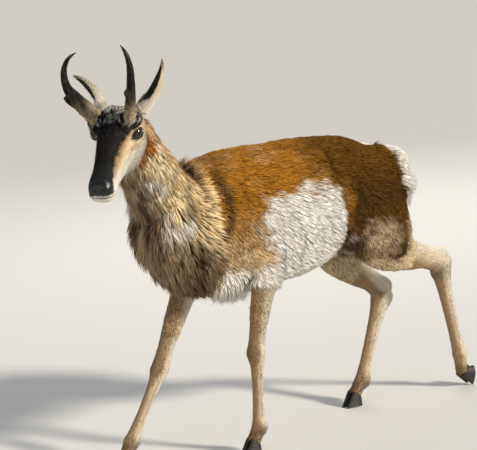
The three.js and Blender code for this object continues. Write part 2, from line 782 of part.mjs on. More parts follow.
// Lips and chin, then the mouth line and the nostrils.
function sidePoint([u, v, w], side) {
  return headPoint(u, -side * v, w);
}
head = head.add(ball(headPoint(...CHIN.at), CHIN.radii, HEAD_AXES, 10, 6));
for (const side of [LEFT, RIGHT]) {
  head = head.add(ball(sidePoint(UPPER_LIP.at, side), UPPER_LIP.radii, HEAD_AXES, 10, 6));
}
const mouthCut = new THREE.BoxGeometry(...MOUTH.size);
mouthCut.rotateY(radians(MOUTH.tilt));
const mouthPlace = new THREE.Matrix4().makeBasis(...HEAD_AXES);
mouthCut.applyMatrix4(mouthPlace.setPosition(headPoint(...MOUTH.at)));
head = head.subtract(solidOf(mouthCut).subtract(headCore(-MOUTH.deep)));
for (const side of [LEFT, RIGHT]) {
  head = head.subtract(ball(sidePoint(NOSTRIL.at, side), NOSTRIL.radii, HEAD_AXES, 8, 6));
}
for (const [word, side] of [["left", LEFT], ["right", RIGHT]]) {
  head = head.subtract(hornSolid(word, side, NODE_GAP));
  head = head.subtract(earSolid(word, NODE_GAP, false));
  addNode(`horn_${word}`, hornSolid(word, side, 0), COLOURS.horn, 0.6);
  addNode(`ear_${word}`, largest(earSolid(word, 0, true)), COLOURS.cream);
}
addNode("head", largest(head), COLOURS.dark);

addNode("tail", largest(tailCore(0).subtract(trunkClear)), COLOURS.white);
for (const [word, side] of [["left", LEFT], ["right", RIGHT]]) {
  const radii = [EYE.radius, EYE.radius, EYE.radius];
  addNode(`eye_${word}`, ball(eyeCentre(side), radii, HEAD_AXES, 12, 8), COLOURS.eye, 0.1);
}

// Legs and hooves.
for (const [word, leg] of Object.entries(LEGS)) {
  const knee = vec(leg.knee);
  const foreFetlock = vec(leg.foreFetlock);
  const foreFoot = footFrame(leg.foreSole, leg.foreTilt);
  const foreTop = coronet(foreFoot, 0);
  const upper = [armSpan(leg), forearmSpan(leg)];
  addNode(`foreleg_upper_${word}`, largest(limb(upper).subtract(trunkClear)), COLOURS.cream);
  const cannon = { from: knee, to: foreFetlock, sections: FORE_LOWER };
  const pastern = {
    from: foreFetlock,
    to: foreTop.centre,
    sections: PASTERN,
    endAlong: foreTop.along,
  };
  addNode(
    `foreleg_lower_${word}`,
    largest(limb([cannon, pastern]).subtract(limb(upper, NODE_GAP))),
    COLOURS.cream,
  );

  const stifle = vec(leg.stifle);
  const hock = vec(leg.hock);
  const hindFetlock = vec(leg.hindFetlock);
  const hindFoot = footFrame(leg.hindSole, leg.hindTilt);
  const hindTop = coronet(hindFoot, 0);
  const thigh = thighSpan(leg);
  const shank = { from: stifle, to: hock, sections: SHANK };
  const thighClear = limb([thigh], NODE_GAP);
  const shankClear = limb([shank], NODE_GAP);
  addNode(`thigh_${word}`, largest(limb([thigh]).subtract(trunkClear)), COLOURS.tan);
  addNode(
    `shank_${word}`,
    largest(limb([shank]).subtract(thighClear).subtract(trunkClear)),
    COLOURS.cream,
  );
  const metatarsus = { from: hock, to: hindFetlock, sections: HIND_LOWER };
  const hindPastern = {
    from: hindFetlock,
    to: hindTop.centre,
    sections: PASTERN,
    endAlong: hindTop.along,
  };
  addNode(
    `hindleg_lower_${word}`,
    largest(limb([metatarsus, hindPastern]).subtract(shankClear)),
    COLOURS.cream,
  );
  for (const [place, frame] of [["fore", foreFoot], ["hind", hindFoot]]) {
    for (const [which, side] of [["outer", leg.side], ["inner", -leg.side]]) {
      addNode(`hoof_${place}_${word}_${which}`, toe(frame, side), COLOURS.hoof, 0.6);
    }
  }
}

// The origin is the middle of the standing model's box, at floor level.
const extent = new THREE.Box3().setFromObject(model, true);
model.position.set(-(extent.min.x + extent.max.x) / 2, -(extent.min.y + extent.max.y) / 2, -FLOOR);

export default model;
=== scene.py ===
"""A life-size standing pronghorn buck: one skin under a coat of solid tufts, with
horns, eyes and hooves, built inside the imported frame. Body tables are in millimetres
in the animal's own coordinates: it faces -X, its left side is at -Y, +Z is up."""

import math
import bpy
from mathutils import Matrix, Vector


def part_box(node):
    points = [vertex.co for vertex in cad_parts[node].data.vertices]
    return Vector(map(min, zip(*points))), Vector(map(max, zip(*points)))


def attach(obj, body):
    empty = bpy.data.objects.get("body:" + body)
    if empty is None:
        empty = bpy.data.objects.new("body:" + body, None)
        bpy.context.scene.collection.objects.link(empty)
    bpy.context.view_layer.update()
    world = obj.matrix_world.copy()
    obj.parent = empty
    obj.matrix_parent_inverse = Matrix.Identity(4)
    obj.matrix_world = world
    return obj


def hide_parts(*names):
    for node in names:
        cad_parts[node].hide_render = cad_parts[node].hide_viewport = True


bl_info = {
    "name": "Pronghorn buck",
    "version": (1, 0, 0),
    "blender": (4, 5, 0),
    "location": "3D View > Sidebar > Pronghorn",
    "description": "Builds a standing pronghorn buck with its coat, horns and hooves",
    "category": "Object",
}

import bmesh
import bpy
import numpy as np
from mathutils import Matrix, Vector

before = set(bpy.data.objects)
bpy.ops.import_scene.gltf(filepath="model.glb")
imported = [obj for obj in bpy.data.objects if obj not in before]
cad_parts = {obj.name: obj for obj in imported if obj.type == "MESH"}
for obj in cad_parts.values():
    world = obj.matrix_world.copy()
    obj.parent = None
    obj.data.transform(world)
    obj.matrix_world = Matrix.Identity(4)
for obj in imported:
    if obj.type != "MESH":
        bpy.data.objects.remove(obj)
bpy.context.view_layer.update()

MM = 0.001
SIDES = {"left": -1, "right": 1}
Y = np.array([0.0, 1.0, 0.0])
Z = np.array([0.0, 0.0, 1.0])
FAR = 1e9

# Corners in a ring of each form, and rings to each interval between its sections.
CORNERS = {"trunk": 56, "neck": 48, "head": 64, "limb": 24}
FORM_RINGS = 4

# Trunk sections: x, back, level of the widest part, underside, half width, fullness of
# the upper and lower halves, and how deep the skin lies below the coat's tips.
TRUNK = [
    (-232, 672, 636, 600, 36, 1, 1, 22),
    (-214, 736, 640, 554, 76, 1, 1, 24),
    (-176, 800, 650, 515, 104, 1, 1, 24),
    (-125, 848, 660, 488, 122, 1.1, 1, 24),
    (-60, 880, 668, 472, 132, 1.2, 1, 22),
    (15, 890, 668, 466, 136, 1.2, 1, 17),
    (100, 886, 664, 462, 142, 1.05, 1, 13),
    (190, 880, 662, 461, 152, 0.95, 0.95, 12),
    (275, 878, 664, 465, 155, 0.9, 0.95, 12),
    (350, 873, 672, 482, 149, 0.88, 0.95, 12),
    (415, 867, 690, 518, 134, 0.85, 0.95, 12),
    (475, 858, 700, 560, 118, 0.85, 0.9, 12),
    (535, 838, 700, 575, 108, 1, 1, 13),
    (590, 808, 690, 575, 100, 1, 1, 15),
    (640, 772, 672, 565, 94, 1, 1, 18),
    (682, 728, 650, 560, 82, 0.9, 0.9, 20),
    (708, 680, 628, 572, 52, 1, 1, 20),
]
# Neck sections: centre, reach to the nape, reach to the throat, half width, coat.
NECK = [
    ((-60, 0, 660), 110, 110, 92, 26),
    ((-118, 0, 712), 116, 122, 108, 26),
    ((-163, -4, 770), 100, 112, 104, 26),
    ((-201, -16, 822), 83, 99, 95, 25),
    ((-236, -32, 872), 76, 93, 86, 24),
    ((-267, -48, 918), 71, 88, 78, 22),
    ((-296, -62, 960), 68, 80, 68, 17),
    ((-318, -74, 994), 56, 62, 54, 10),
    ((-336, -84, 1014), 34, 40, 36, 6),
]
# The head's own frame: u from the poll to the nose, v to the left, w to the crown.
POLL = np.array([-336.0, -81.0, 1039.0])
TO_NOSE = np.array([-0.759, -0.515, -0.399])
TO_NOSE /= np.linalg.norm(TO_NOSE)
TO_CROWN = np.cross(TO_NOSE, [0.571, -0.821, -0.026])
TO_CROWN /= np.linalg.norm(TO_CROWN)
TO_LEFT = np.cross(TO_CROWN, TO_NOSE)
# Head sections: u, crown, level of the widest part, jaw, half width, upper, lower.
HEAD = [
    (-34, -10, -34, -62, 26, 1, 1),
    (-22, 12, -32, -84, 42, 1, 1),
    (0, 28, -28, -106, 54, 0.95, 1.1),
    (28, 44, -24, -127, 60, 0.9, 1.2),
    (58, 50, -18, -136, 61, 0.9, 1.2),
    (84, 49, -12, -132, 57, 0.85, 1.3),
    (108, 44, -12, -122, 49, 0.85, 1.3),
    (134, 34, -20, -115, 44, 0.9, 1.3),
    (162, 19, -34, -108, 41, 0.9, 1.2),
    (192, 2, -46, -103, 38, 0.9, 1.1),
    (222, -12, -54, -100, 36, 0.85, 1),
    (250, -22, -60, -101, 37, 0.8, 0.9),
    (272, -29, -64, -100, 36, 0.8, 0.8),
    (288, -38, -66, -89, 28, 0.85, 0.8),
]
EYE = (82, 56, 0)
EYE_RADIUS = 19.2
# Horn sections: place in the head's frame, depth fore and aft, thickness.
HORN = [
    ((72, 43, 34), 46, 31),
    ((80, 50, 50), 54, 35),
    ((97, 66, 92), 53, 31),
    ((112, 81, 134), 50, 26),
    ((119, 92, 172), 35, 23),
    ((112, 96, 207), 27, 19),
    ((101, 92, 232), 20, 15),
    ((86, 80, 250), 13, 10),
    ((66, 64, 254), 4, 4),
]
PRONG = [
    ((112, 78, 126), 50, 22),
    ((139, 84, 149), 35, 16),
    ((166, 87, 168), 9, 6),
]
HORN_HEIGHT = {"left": 1.04, "right": 0.97}
HORN_BED = (34, 34, 26)
HORN_VOXEL = 1.7
# Ears: base and tip in the head's frame, the way they open; then share of the length,
# width, depth and curl of each section.
EARS = {
    "left": ((12, 52, 20), (-43, 138, 146), (0.42, -0.9, 0.1)),
    "right": ((12, -50, 20), (-74, -142, 98), (0.6, -0.6, -0.2)),
}
EAR = [
    (0.0, 28, 26, 0),
    (0.16, 40, 34, -2),
    (0.34, 52, 36, -5),
    (0.54, 55, 30, -6),
    (0.72, 43, 22, -3),
    (0.87, 25, 13, 3),
    (0.985, 5, 4, 11),
]
EAR_ACROSS = 26
EAR_WALL = 2.4
TAIL = [
    ((676, 0, 706), 30, 26),
    ((708, 0, 694), 32, 22),
    ((726, 0, 672), 30, 18),
    ((735, 0, 648), 22, 14),
    ((740, 0, 630), 8, 6),
]
LEGS = {
    "left": {
        "shoulder": (35, -88, 640),
        "elbow": (74, -104, 515),
        "knee": (22, -105, 299),
        "fore_fetlock": (8, -103, 73),
        "fore_sole": (-24, -103),
        "fore_tilt": 0,
        "hip": (600, -78, 735),
        "stifle": (500, -98, 545),
        "hock": (764, -92, 416),
        "hind_fetlock": (846, -70, 108),
        "hind_sole": (886, -70),
        "hind_tilt": 82,
    },
    "right": {
        "shoulder": (-20, 84, 620),
        "elbow": (-62, 98, 500),
        "knee": (-178, 98, 268),
        "fore_fetlock": (-314, 82, 84),
        "fore_sole": (-352, 84),
        "fore_tilt": 0,
        "hip": (598, 78, 735),
        "stifle": (500, 108, 525),
        "hock": (678, 88, 322),
        "hind_fetlock": (548, 60, 70),
        "hind_sole": (502, 54),
        "hind_tilt": 0,
    },
}
# Limb sections: share of the bone, full depth, full width, set back, coat depth.
ARM = [(0, 112, 56, 0, 10)]
FORE_UPPER = [
    (-0.2, 108, 62, 4, 9),
    (0.02, 96, 60, 8, 7),
    (0.2, 79, 56, 6, 3.5),
    (0.42, 63, 50, 2, 1.5),
    (0.65, 53, 45, 0, 1),
    (0.85, 50, 45, 0, 0.5),
    (1.0, 55, 49, 0, 0.5),
]
FORE_LOWER = [
    (0.0, 56, 49, 0, 0.5),
    (0.08, 54, 47, 0, 0.5),
    (0.18, 43, 39, 2, 0.5),
    (0.38, 35, 33, 2, 0.5),
    (0.65, 33, 31, 1, 0.5),
    (0.87, 39, 35, 1, 0.5),
    (1.0, 48, 40, 2, 0.5),
]
THIGH = [
    (-0.25, 60, 44, -50, 8),
    (0.02, 140, 78, -34, 9),
    (0.3, 200, 96, -8, 8),
    (0.6, 248, 100, 18, 7),
    (0.9, 254, 94, 46, 6),
    (1.12, 200, 82, 62, 5),
]
SHANK = [
    (-0.1, 150, 80, 0, 6),
    (0.15, 150, 76, -9, 5),
    (0.4, 124, 64, -10, 2.5),
    (0.62, 94, 50, -6, 1),
    (0.8, 74, 38, 4, 0.5),
    (1.0, 79, 45, 12, 0.5),
    (1.08, 54, 36, 12, 0.5),
]
HIND_LOWER = [
    (-0.07, 54, 36, 6, 0.5),
    (0.0, 81, 48, 10, 0.5),
    (0.08, 79, 48, 8, 0.5),
    (0.2, 58, 40, 6, 0.5),
    (0.42, 45, 34, 3, 0.5),
    (0.7, 41, 33, 2, 0.5),
    (0.88, 44, 36, 2, 0.5),
    (1.0, 51, 42, 3, 0.5),
]
PASTERN = [(0.5, 39, 37, 0, 0.5), (1.0, 43, 45, 0, 1)]
# The hoof: the coronet's place behind the foot's middle and its height, the slope of the
# front in degrees, reach of toe and heel, half a toe's width, and the coronet's own size.
HOOF = {
    "back": 8,
    "high": 36,
    "slope": 53,
    "toe": 38,
    "heel": 24,
    "half": 12.2,
    "crown_deep": 18.6,
    "crown_half": 9.5,
}
HOOF_CORNERS = 40
# How a toe swells from the coronet to the ground: share of the way, share of the width.
TOE_SWELL = [(0, 0.97), (0.04, 1), (0.5, 1.04), (0.86, 1.06), (0.96, 1.05), (1, 1.0)]
# Half the cleft between the toes, and the sole's height over the floor.
CLEFT = 0.8
SOLE_LIFT = 0.3


def head_point(u, v, w):
    return POLL + u * TO_NOSE + v * TO_LEFT + w * TO_CROWN


def body_shift():
    """From the animal's own coordinates to the frame's, in millimetres."""
    low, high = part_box("eye_left")
    return np.array((low + high) / 2) / MM - head_point(*EYE)


SHIFT = body_shift()


# Numbers


def unit(v):
    v = np.asarray(v, float)
    return v / np.maximum(np.linalg.norm(v, axis=-1, keepdims=True), 1e-9)


def smooth(low, high, x):
    t = np.clip((np.asarray(x, float) - low) / (high - low), 0, 1)
    return t * t * (3 - 2 * t)


def directions(line):
    """The way that a line of points runs, at each of them."""
    return unit(np.vstack([line[1:], line[-1:]]) - np.vstack([line[:1], line[:-1]]))


def facing_aft(v):
    """The vector or its opposite, whichever points to the tail."""
    return -v if v[0] < 0 else v


def along_segment(points, a, b):
    """Share of the way from a to b, and the distance from the segment."""
    a, b = np.asarray(a, float), np.asarray(b, float)
    line = b - a
    t = np.clip((points - a) @ line / (line @ line), 0, 1)
    off = np.linalg.norm(points - a - t[:, None] * line, axis=1)
    return t, off


def through(rows, steps):
    """Rows of numbers with a smooth curve through them, `steps` to each interval."""
    rows = np.array([np.hstack([np.ravel(v) for v in r]) for r in rows], float)
    out = []
    for i in range(len(rows) - 1):
        a, b, c, d = (rows[min(max(i + k, 0), len(rows) - 1)] for k in (-1, 0, 1, 2))
        for t in np.arange(steps) / steps:
            near, far = (c - a) / 2, (d - b) / 2
            out.append(
                b * (2 * t**3 - 3 * t**2 + 1)
                + near * (t**3 - 2 * t**2 + t)
                + c * (3 * t**2 - 2 * t**3)
                + far * (t**3 - t**2)
            )
    out.append(rows[-1])
    return np.array(out)


def hashed(cells, seed):
    """Numbers from 0 to 1 that depend only on whole-number cells and the seed."""
    c = cells.astype(np.int64)
    h = c[:, 0] * 73856093 ^ c[:, 1] * 19349663 ^ c[:, 2] * 83492791 ^ seed * 2654435761
    h = (h ^ (h >> 13)) * 1274126177
    h = h ^ (h >> 16)
    return (h & 0xFFFFFF) / float(0xFFFFFF)


def value_noise(points, size, seed):
    """Smooth noise from 0 to 1 over space, with features about `size` across."""
    p = points / size
    base = np.floor(p)
    f = p - base
    f = f * f * (3 - 2 * f)
    total = np.zeros(len(points))
    for corner in range(8):
        step = np.array([corner & 1, corner >> 1 & 1, corner >> 2 & 1])
        share = np.prod(np.where(step, f, 1 - f), axis=1)
        total += share * hashed(base + step, seed)
    return total


def nearest_cell(points, size, seed):
    """The nearest of many scattered centres, and a number from 0 to 1 for it."""
    base = np.floor(points / size)
    best = np.full(len(points), FAR**2)
    centre = np.zeros_like(points)
    mark = np.zeros(len(points))
    for k in range(27):
        cell = base + np.array([k % 3 - 1, k // 3 % 3 - 1, k // 9 - 1])
        jitter = np.stack([hashed(cell, seed + i) for i in range(3)], 1)
        spot = (cell + jitter) * size
        gap = ((spot - points) ** 2).sum(1)
        near = gap < best
        best = np.where(near, gap, best)
        centre[near] = spot[near]
        mark = np.where(near, hashed(cell, seed + 9), mark)
    return centre, mark


# Meshes


def ring_points(centre, side, up, half, top, bottom, upper, lower, count):
    """Points round a form: `top` and `bottom` are its reach along `up`, and `upper` and
    `lower` the fullness of each half, which is squarer under 1."""
    angle = 2 * np.pi * np.arange(count) / count
    c, s = np.cos(angle), np.sin(angle)
    fullness = np.where(s > 0, upper, lower)
    across = np.sign(c) * np.abs(c) ** fullness * half
    rise = np.where(s > 0, s * top, s * bottom)
    return centre + across[:, None] * side + rise[:, None] * up


def add_tube(bm, rings):
    """A closed body through rings of points, from a grid rolled into a tube."""
    rows, count = len(rings), len(rings[0])
    made = bmesh.ops.create_grid(bm, x_segments=count, y_segments=rows - 1, size=1)
    verts = made["verts"]
    for r in range(rows):
        for k in range(count + 1):
            verts[r * (count + 1) + k].co = rings[r][k % count]
    bmesh.ops.remove_doubles(bm, verts=verts, dist=1e-5)
    verts = [v for v in verts if v.is_valid]
    own = set(verts)
    open_edges = [e for e in bm.edges if e.is_boundary and e.verts[0] in own]
    bmesh.ops.holes_fill(bm, edges=open_edges, sides=0)
    face_outwards(bm, verts)


def face_outwards(bm, verts):
    faces = list({f for v in verts for f in v.link_faces})
    bmesh.ops.recalc_face_normals(bm, faces=faces)


def add_ball(bm, centre, radii, axes=((1, 0, 0), (0, 1, 0), (0, 0, 1)), level=3):
    matrix = Matrix.Identity(4)
    for i in range(3):
        column = np.array(axes[i], float) * radii[i]
        for j in range(3):
            matrix[j][i] = column[j]
        matrix[i][3] = centre[i]
    made = bmesh.ops.create_icosphere(bm, subdivisions=level, radius=1, matrix=matrix)
    face_outwards(bm, made["verts"])


def in_scene(name, data):
    """An object in the scene for a mesh, a lamp or a camera."""
    made = bpy.data.objects.new(name, data)
    bpy.context.scene.collection.objects.link(made)
    return made


def object_from(name, bm):
    mesh = bpy.data.meshes.new(name)
    bm.to_mesh(mesh)
    bm.free()
    return in_scene(name, mesh)


def piece_from(name, bm):
    """An object from a bmesh in body millimetres, put in place in metres."""
    for v in bm.verts:
        v.co = (Vector(v.co) + Vector(SHIFT)) * MM
    return object_from(name, bm)


def shade_smooth(piece):
    piece.data.polygons.foreach_set("use_smooth", [True] * len(piece.data.polygons))


def apply_modifiers(piece):
    graph = bpy.context.evaluated_depsgraph_get()
    mesh = bpy.data.meshes.new_from_object(piece.evaluated_get(graph))
    old = piece.data
    piece.modifiers.clear()
    piece.data = mesh
    bpy.data.meshes.remove(old)


def remesh(piece, size, rounds):
    """One closed skin round overlapping bodies, with its steps smoothed."""
    weld = piece.modifiers.new("Weld", "REMESH")
    weld.mode = "VOXEL"
    weld.voxel_size = size * MM
    ease = piece.modifiers.new("Ease", "SMOOTH")
    ease.factor = 0.5
    ease.iterations = rounds
    apply_modifiers(piece)
    shade_smooth(piece)


def vertex_vectors(piece, key):
    flat = np.zeros(len(piece.data.vertices) * 3)
    piece.data.vertices.foreach_get(key, flat)
    return flat.reshape(-1, 3)


def points_of(piece):
    return vertex_vectors(piece, "co") / MM - SHIFT


def normals_of(piece):
    return vertex_vectors(piece, "normal")


def place_points(piece, points):
    piece.data.vertices.foreach_set("co", ((points + SHIFT) * MM).ravel())
    piece.data.update()


def join(name, pieces):
    """One object from several, which are taken away."""
    bm = bmesh.new()
    for piece in pieces:
        bm.from_mesh(piece.data)
        bpy.data.objects.remove(piece)
    joined = object_from(name, bm)
    shade_smooth(joined)
    return joined


# The body's forms


def trunk_rings():
    rings = []
    for x, back, mid, under, half, upper, lower, coat in through(TRUNK, FORM_RINGS):
        middle = np.array([x, 0, mid])
        reach = half - coat, back - mid - coat, mid - under - coat
        rings.append(ring_points(middle, Y, Z, *reach, upper, lower, CORNERS["trunk"]))
    return rings


def neck_rings():
    rows = through(NECK, FORM_RINGS)
    rings = []
    for row, along in zip(rows, directions(rows[:, :3])):
        nape, throat, half, coat = row[3:]
        side = unit(np.cross(along, [1.0, 0, 0]))
        up = facing_aft(unit(np.cross(along, side)))
        reach = half - coat, nape - coat, throat - coat
        rings.append(ring_points(row[:3], side, up, *reach, 1, 1, CORNERS["neck"]))
    return rings


def head_rings():
    rings = []
    for u, crown, mid, jaw, half, upper, lower in through(HEAD, FORM_RINGS):
        middle = head_point(u, 0, mid)
        reach = half, crown - mid, mid - jaw
        rings.append(
            ring_points(middle, TO_LEFT, TO_CROWN, *reach, upper, lower, CORNERS["head"])
        )
    return rings


def limb_rings(spans, steps=5, end_along=None):
    """Rings down a limb: spans of (from, to, sections), in the leg's own plane."""
    rows = []
    for start, end, sections in spans:
        start, end = np.array(start, float), np.array(end, float)
        along = unit(end - start)
        for t, deep, wide, behind, coat in sections:
            rows.append((start + (end - start) * t, along, deep, wide, behind, coat))
    if end_along is not None:
        rows[-1] = (rows[-1][0], unit(end_along), *rows[-1][2:])
    rings = []
    for row in through(rows, steps):
        centre, along = row[:3], unit(row[3:6])
        deep, wide, behind, coat = row[6:]
        aft = facing_aft(unit(np.cross(along, Y)))
        side = unit(np.cross(aft, along))
        reach = deep / 2 - coat
        middle = centre + aft * behind
        half = wide / 2 - coat
        rings.append(ring_points(middle, side, aft, half, reach, reach, 1, 1, CORNERS["limb"]))
    return rings


def spine_rings(rows, place, side_hint, count, steps):
    """Rings along a curved form, its depth and thickness taken across its own line."""
    table = through([(place(*at), deep, thick) for at, deep, thick in rows], steps)
    rings = []
    for row, along in zip(table, directions(table[:, :3])):
        side = unit(side_hint - np.dot(side_hint, along) * along)
        up = unit(np.cross(side, along))
        deep, thick = np.maximum(row[3:] / 2, 0.6)
        rings.append(ring_points(row[:3], side, up, thick, deep, deep, 1, 1, count))
    return rings


def foot_frame(sole, tilt):
    """The foot's own turn and place: its lowest edge stands on the floor."""
    turn = np.array(Matrix.Rotation(math.radians(-tilt), 3, "Y"))
    toe, heel = turn @ [-HOOF["toe"], 0, 0], turn @ [HOOF["heel"], 0, 0]
    return turn, np.array([sole[0], sole[1], -min(toe[2], heel[2])])


def coronet(turn, place, drop=0.0):
    """The middle of the hoof's upper edge, and the way that the leg runs into it."""
    slope = math.radians(HOOF["slope"])
    along = np.array([-math.cos(slope), 0, -math.sin(slope)])
    centre = np.array([HOOF["back"], 0, HOOF["high"]]) + along * drop
    return place + turn @ centre, turn @ along


def leg_bodies(bm, leg, fine):
    """Adds one side's limbs: upper parts for the coarse skin, lower for the fine."""
    if fine:
        fore_top, fore_along = coronet(*foot_frame(leg["fore_sole"], leg["fore_tilt"]))
        hind_top, hind_along = coronet(*foot_frame(leg["hind_sole"], leg["hind_tilt"]))
        fore = [
            (leg["elbow"], leg["knee"], FORE_UPPER[3:6]),
            (leg["knee"], leg["fore_fetlock"], FORE_LOWER),
            (leg["fore_fetlock"], fore_top, PASTERN),
        ]
        hind = [
            (leg["hock"], leg["hind_fetlock"], HIND_LOWER),
            (leg["hind_fetlock"], hind_top, PASTERN),
        ]
        add_tube(bm, limb_rings(fore, end_along=fore_along))
        add_tube(bm, limb_rings(hind, end_along=hind_along))
        add_tube(bm, limb_rings([(leg["stifle"], leg["hock"], SHANK[2:])]))
    else:
        start = np.array(leg["shoulder"]) * 0.6 + np.array(leg["elbow"]) * 0.4
        arm = (start, leg["elbow"], ARM)
        add_tube(bm, limb_rings([arm, (leg["elbow"], leg["knee"], FORE_UPPER[:5])]))
        add_tube(bm, limb_rings([(leg["hip"], leg["stifle"], THIGH)]))
        add_tube(bm, limb_rings([(leg["stifle"], leg["hock"], SHANK[:4])]))


# Muscles under the skin of the trunk: centre, radii; each is mirrored.
MUSCLES = [
    ((-10, 84, 700), (62, 34, 96)),
    ((52, 86, 590), (52, 30, 66)),
    ((-86, 70, 610), (50, 44, 70)),
    ((560, 66, 735), (72, 34, 60)),
    ((470, 92, 600), (60, 30, 66)),
    ((-178, 22, 756), (60, 72, 96)),
    ((-214, 16, 690), (30, 66, 90)),
    ((520, 62, 752), (84, 46, 62)),
    ((596, 66, 744), (76, 48, 56)),
    ((640, 62, 690), (56, 42, 60)),
]
# Folds of the loose hide on the sides: points in x and z, depth, width.
FOLDS = [
    ([(132, 712), (176, 664), (206, 616), (196, 556)], 5.5, 9),
    ([(232, 730), (262, 680), (300, 640), (318, 596)], 4.5, 9),
    ([(92, 640), (128, 604), (140, 560)], 5, 9),
    ([(262, 620), (282, 576), (270, 536)], 3.5, 8),
    ([(-20, 830), (20, 780), (30, 720), (12, 650)], 4, 14),
    ([(346, 820), (352, 760), (372, 700), (384, 620), (396, 566)], 5.5, 13),
    ([(446, 700), (470, 640), (452, 590)], 4, 14),
]
# The fold of skin under the belly: centre, radii.
BELLY_FOLD = ((392, 0, 520), (46, 17, 22))
# Bulges of the joints: reach and height, on both sides and in front.
BULGES = {
    "knee": (17, 3.0),
    "fore_fetlock": (15, 2.6),
    "hind_fetlock": (15, 2.6),
    "hock": (17, 3.2),
}
BULGE_SPOTS = ((0, 16, 0), (0, -16, 0), (-20, 0, 0))
# The tendon groove on each side of the cannon bones: depth, half width, and how far
# behind the bone's line it runs.
GROOVE_DEPTH = 3.2
GROOVE_HALF = 4
GROOVE_AFT = 3


def body_skin(voxel):
    """Trunk, neck, tail and the limbs' upper parts in one skin, with its folds."""
    bm = bmesh.new()
    add_tube(bm, trunk_rings())
    add_tube(bm, neck_rings())
    add_tube(bm, spine_rings(TAIL, lambda *p: np.array(p, float), Y, 24, 5))
    for leg in LEGS.values():
        leg_bodies(bm, leg, fine=False)
    for (x, y, z), radii in MUSCLES:
        for side in (-1, 1):
            add_ball(bm, (x, y * side, z), radii)
    add_ball(bm, *BELLY_FOLD)
    piece = piece_from("skin_body", bm)
    remesh(piece, voxel, 8)
    points, normals = points_of(piece), normals_of(piece)
    flat = points[:, [0, 2]]
    push = 2.2 * (value_noise(points * [0.5, 1, 1], 34, 31) - 0.5)
    for route, depth, width in FOLDS:
        away = np.full(len(points), FAR)
        for a, b in zip(route, route[1:]):
            away = np.minimum(away, along_segment(flat, a, b)[1])
        fold = np.exp(-((away / width) ** 2))
        fold -= 0.5 * np.exp(-(((away - 2 * width) / width) ** 2))
        push -= depth * fold * smooth(50, 90, np.abs(points[:, 1]))
    place_points(piece, points + normals * push[:, None])
    return piece


def limb_skin(voxel):
    """The limbs' lower parts, with the bulges of their joints and tendons."""
    bm = bmesh.new()
    for leg in LEGS.values():
        leg_bodies(bm, leg, fine=True)
    piece = piece_from("skin_limbs", bm)
    remesh(piece, voxel, 2)
    points, normals = points_of(piece), normals_of(piece)
    push = np.zeros(len(points))
    for leg in LEGS.values():
        for name, (reach, height) in BULGES.items():
            for shift in BULGE_SPOTS:
                gap = ((points - np.array(leg[name], float) - shift) ** 2).sum(1) / reach**2
                push += height * np.exp(-gap * 2.2)
        for top, low in (("knee", "fore_fetlock"), ("hock", "hind_fetlock")):
            a, b = np.array(leg[top], float), np.array(leg[low], float)
            t, off = along_segment(points, a, b)
            inside = smooth(0.12, 0.3, t) * smooth(0.95, 0.8, t) * (off < 40)
            across = points - (a + t[:, None] * (b - a))
            hollow = np.exp(-(((across[:, 0] - GROOVE_AFT) / GROOVE_HALF) ** 2))
            push -= GROOVE_DEPTH * inside * hollow
    place_points(piece, points + normals * push[:, None])
    return piece


# Fleshy forms of the head before it is skinned: centre, radii; mirrored off v = 0.
HEAD_FORMS = [
    ((44, 26, -66), (46, 24, 40)),
    ((92, 30, 18), (34, 26, 22)),
    ((40, 22, 20), (40, 30, 24)),
    ((120, 34, -38), (44, 14, 14)),
    ((262, 12, -60), (22, 17, 20)),
    ((266, 12, -68), (18, 15, 12)),
    ((258, 0, -84), (20, 18, 10)),
    ((225, 12, -64), (46, 20, 26)),
]
# Swellings and hollows on the skinned head: centre, reach, height; mirrored.
HEAD_RELIEF = [
    ((52, 56, -60), (34, 30, 34), 5.0),
    ((84, 52, -30), (30, 20, 10), 2.0),
    ((92, 58, 27), (28, 18, 8), 4.4),
    ((110, 56, -12), (16, 14, 9), -3.0),
    ((128, 46, -24), (34, 16, 7), 2.6),
    ((118, 50, -52), (22, 18, 16), -3.0),
    ((170, 38, -62), (26, 14, 18), -3.0),
    ((160, 16, 24), (30, 8, 14), 1.8),
    ((206, 32, -44), (30, 10, 8), 1.4),
    ((280, 22, -52), (10, 8, 9), 3.2),
    ((289, 13, -56), (8, 4.5, 6.5), -7.0),
    ((281, 20, -52), (7, 3.5, 3.5), -5.0),
    ((294, 0, -62), (8, 1.8, 16), -1.8),
    ((262, 24, -70), (18, 10, 7), 1.8),
    ((258, 14, -92), (16, 14, 7), 2.0),
]
# The line of the mouth: u, and w there; then how deep it is cut, and the lip over it.
MOUTH = ([200, 216, 240, 262, 300], [-88, -83, -79, -77, -78])
MOUTH_DEPTH, LIP_RISE = 3.4, 1.2
# The opening between the lids: half its length, and its reach up and down.
LID_LONG, LID_HIGH, LID_LOW = 19.5, 12.6, 11.4
# The lids' thickness over the eye, their swelling away from the rim, and how far the
# skin behind the opening sinks.
LID_THICK, LID_SWELL, LID_SINK = 1.8, 1.2, 5
# Creases over and under the lids: depth, distance past the lids, half width, and where
# they fade out on the way to the other lid.
LID_CREASES = [(1.9, 6.5, 1.5, (-4, 4)), (1.2, 7.5, 1.6, (0, -6))]
# The lids' rim: corners round the eye and round the rim, and its half width and height.
RIM_STEPS, RIM_CORNERS = 56, 8
RIM_HALF, RIM_RISE = 2.0, 1.3


def head_place(points):
    """Where points lie in the head's own frame."""
    local = points - POLL
    return local @ TO_NOSE, local @ TO_LEFT, local @ TO_CROWN


def mouth_level(u):
    return np.interp(u, *MOUTH)


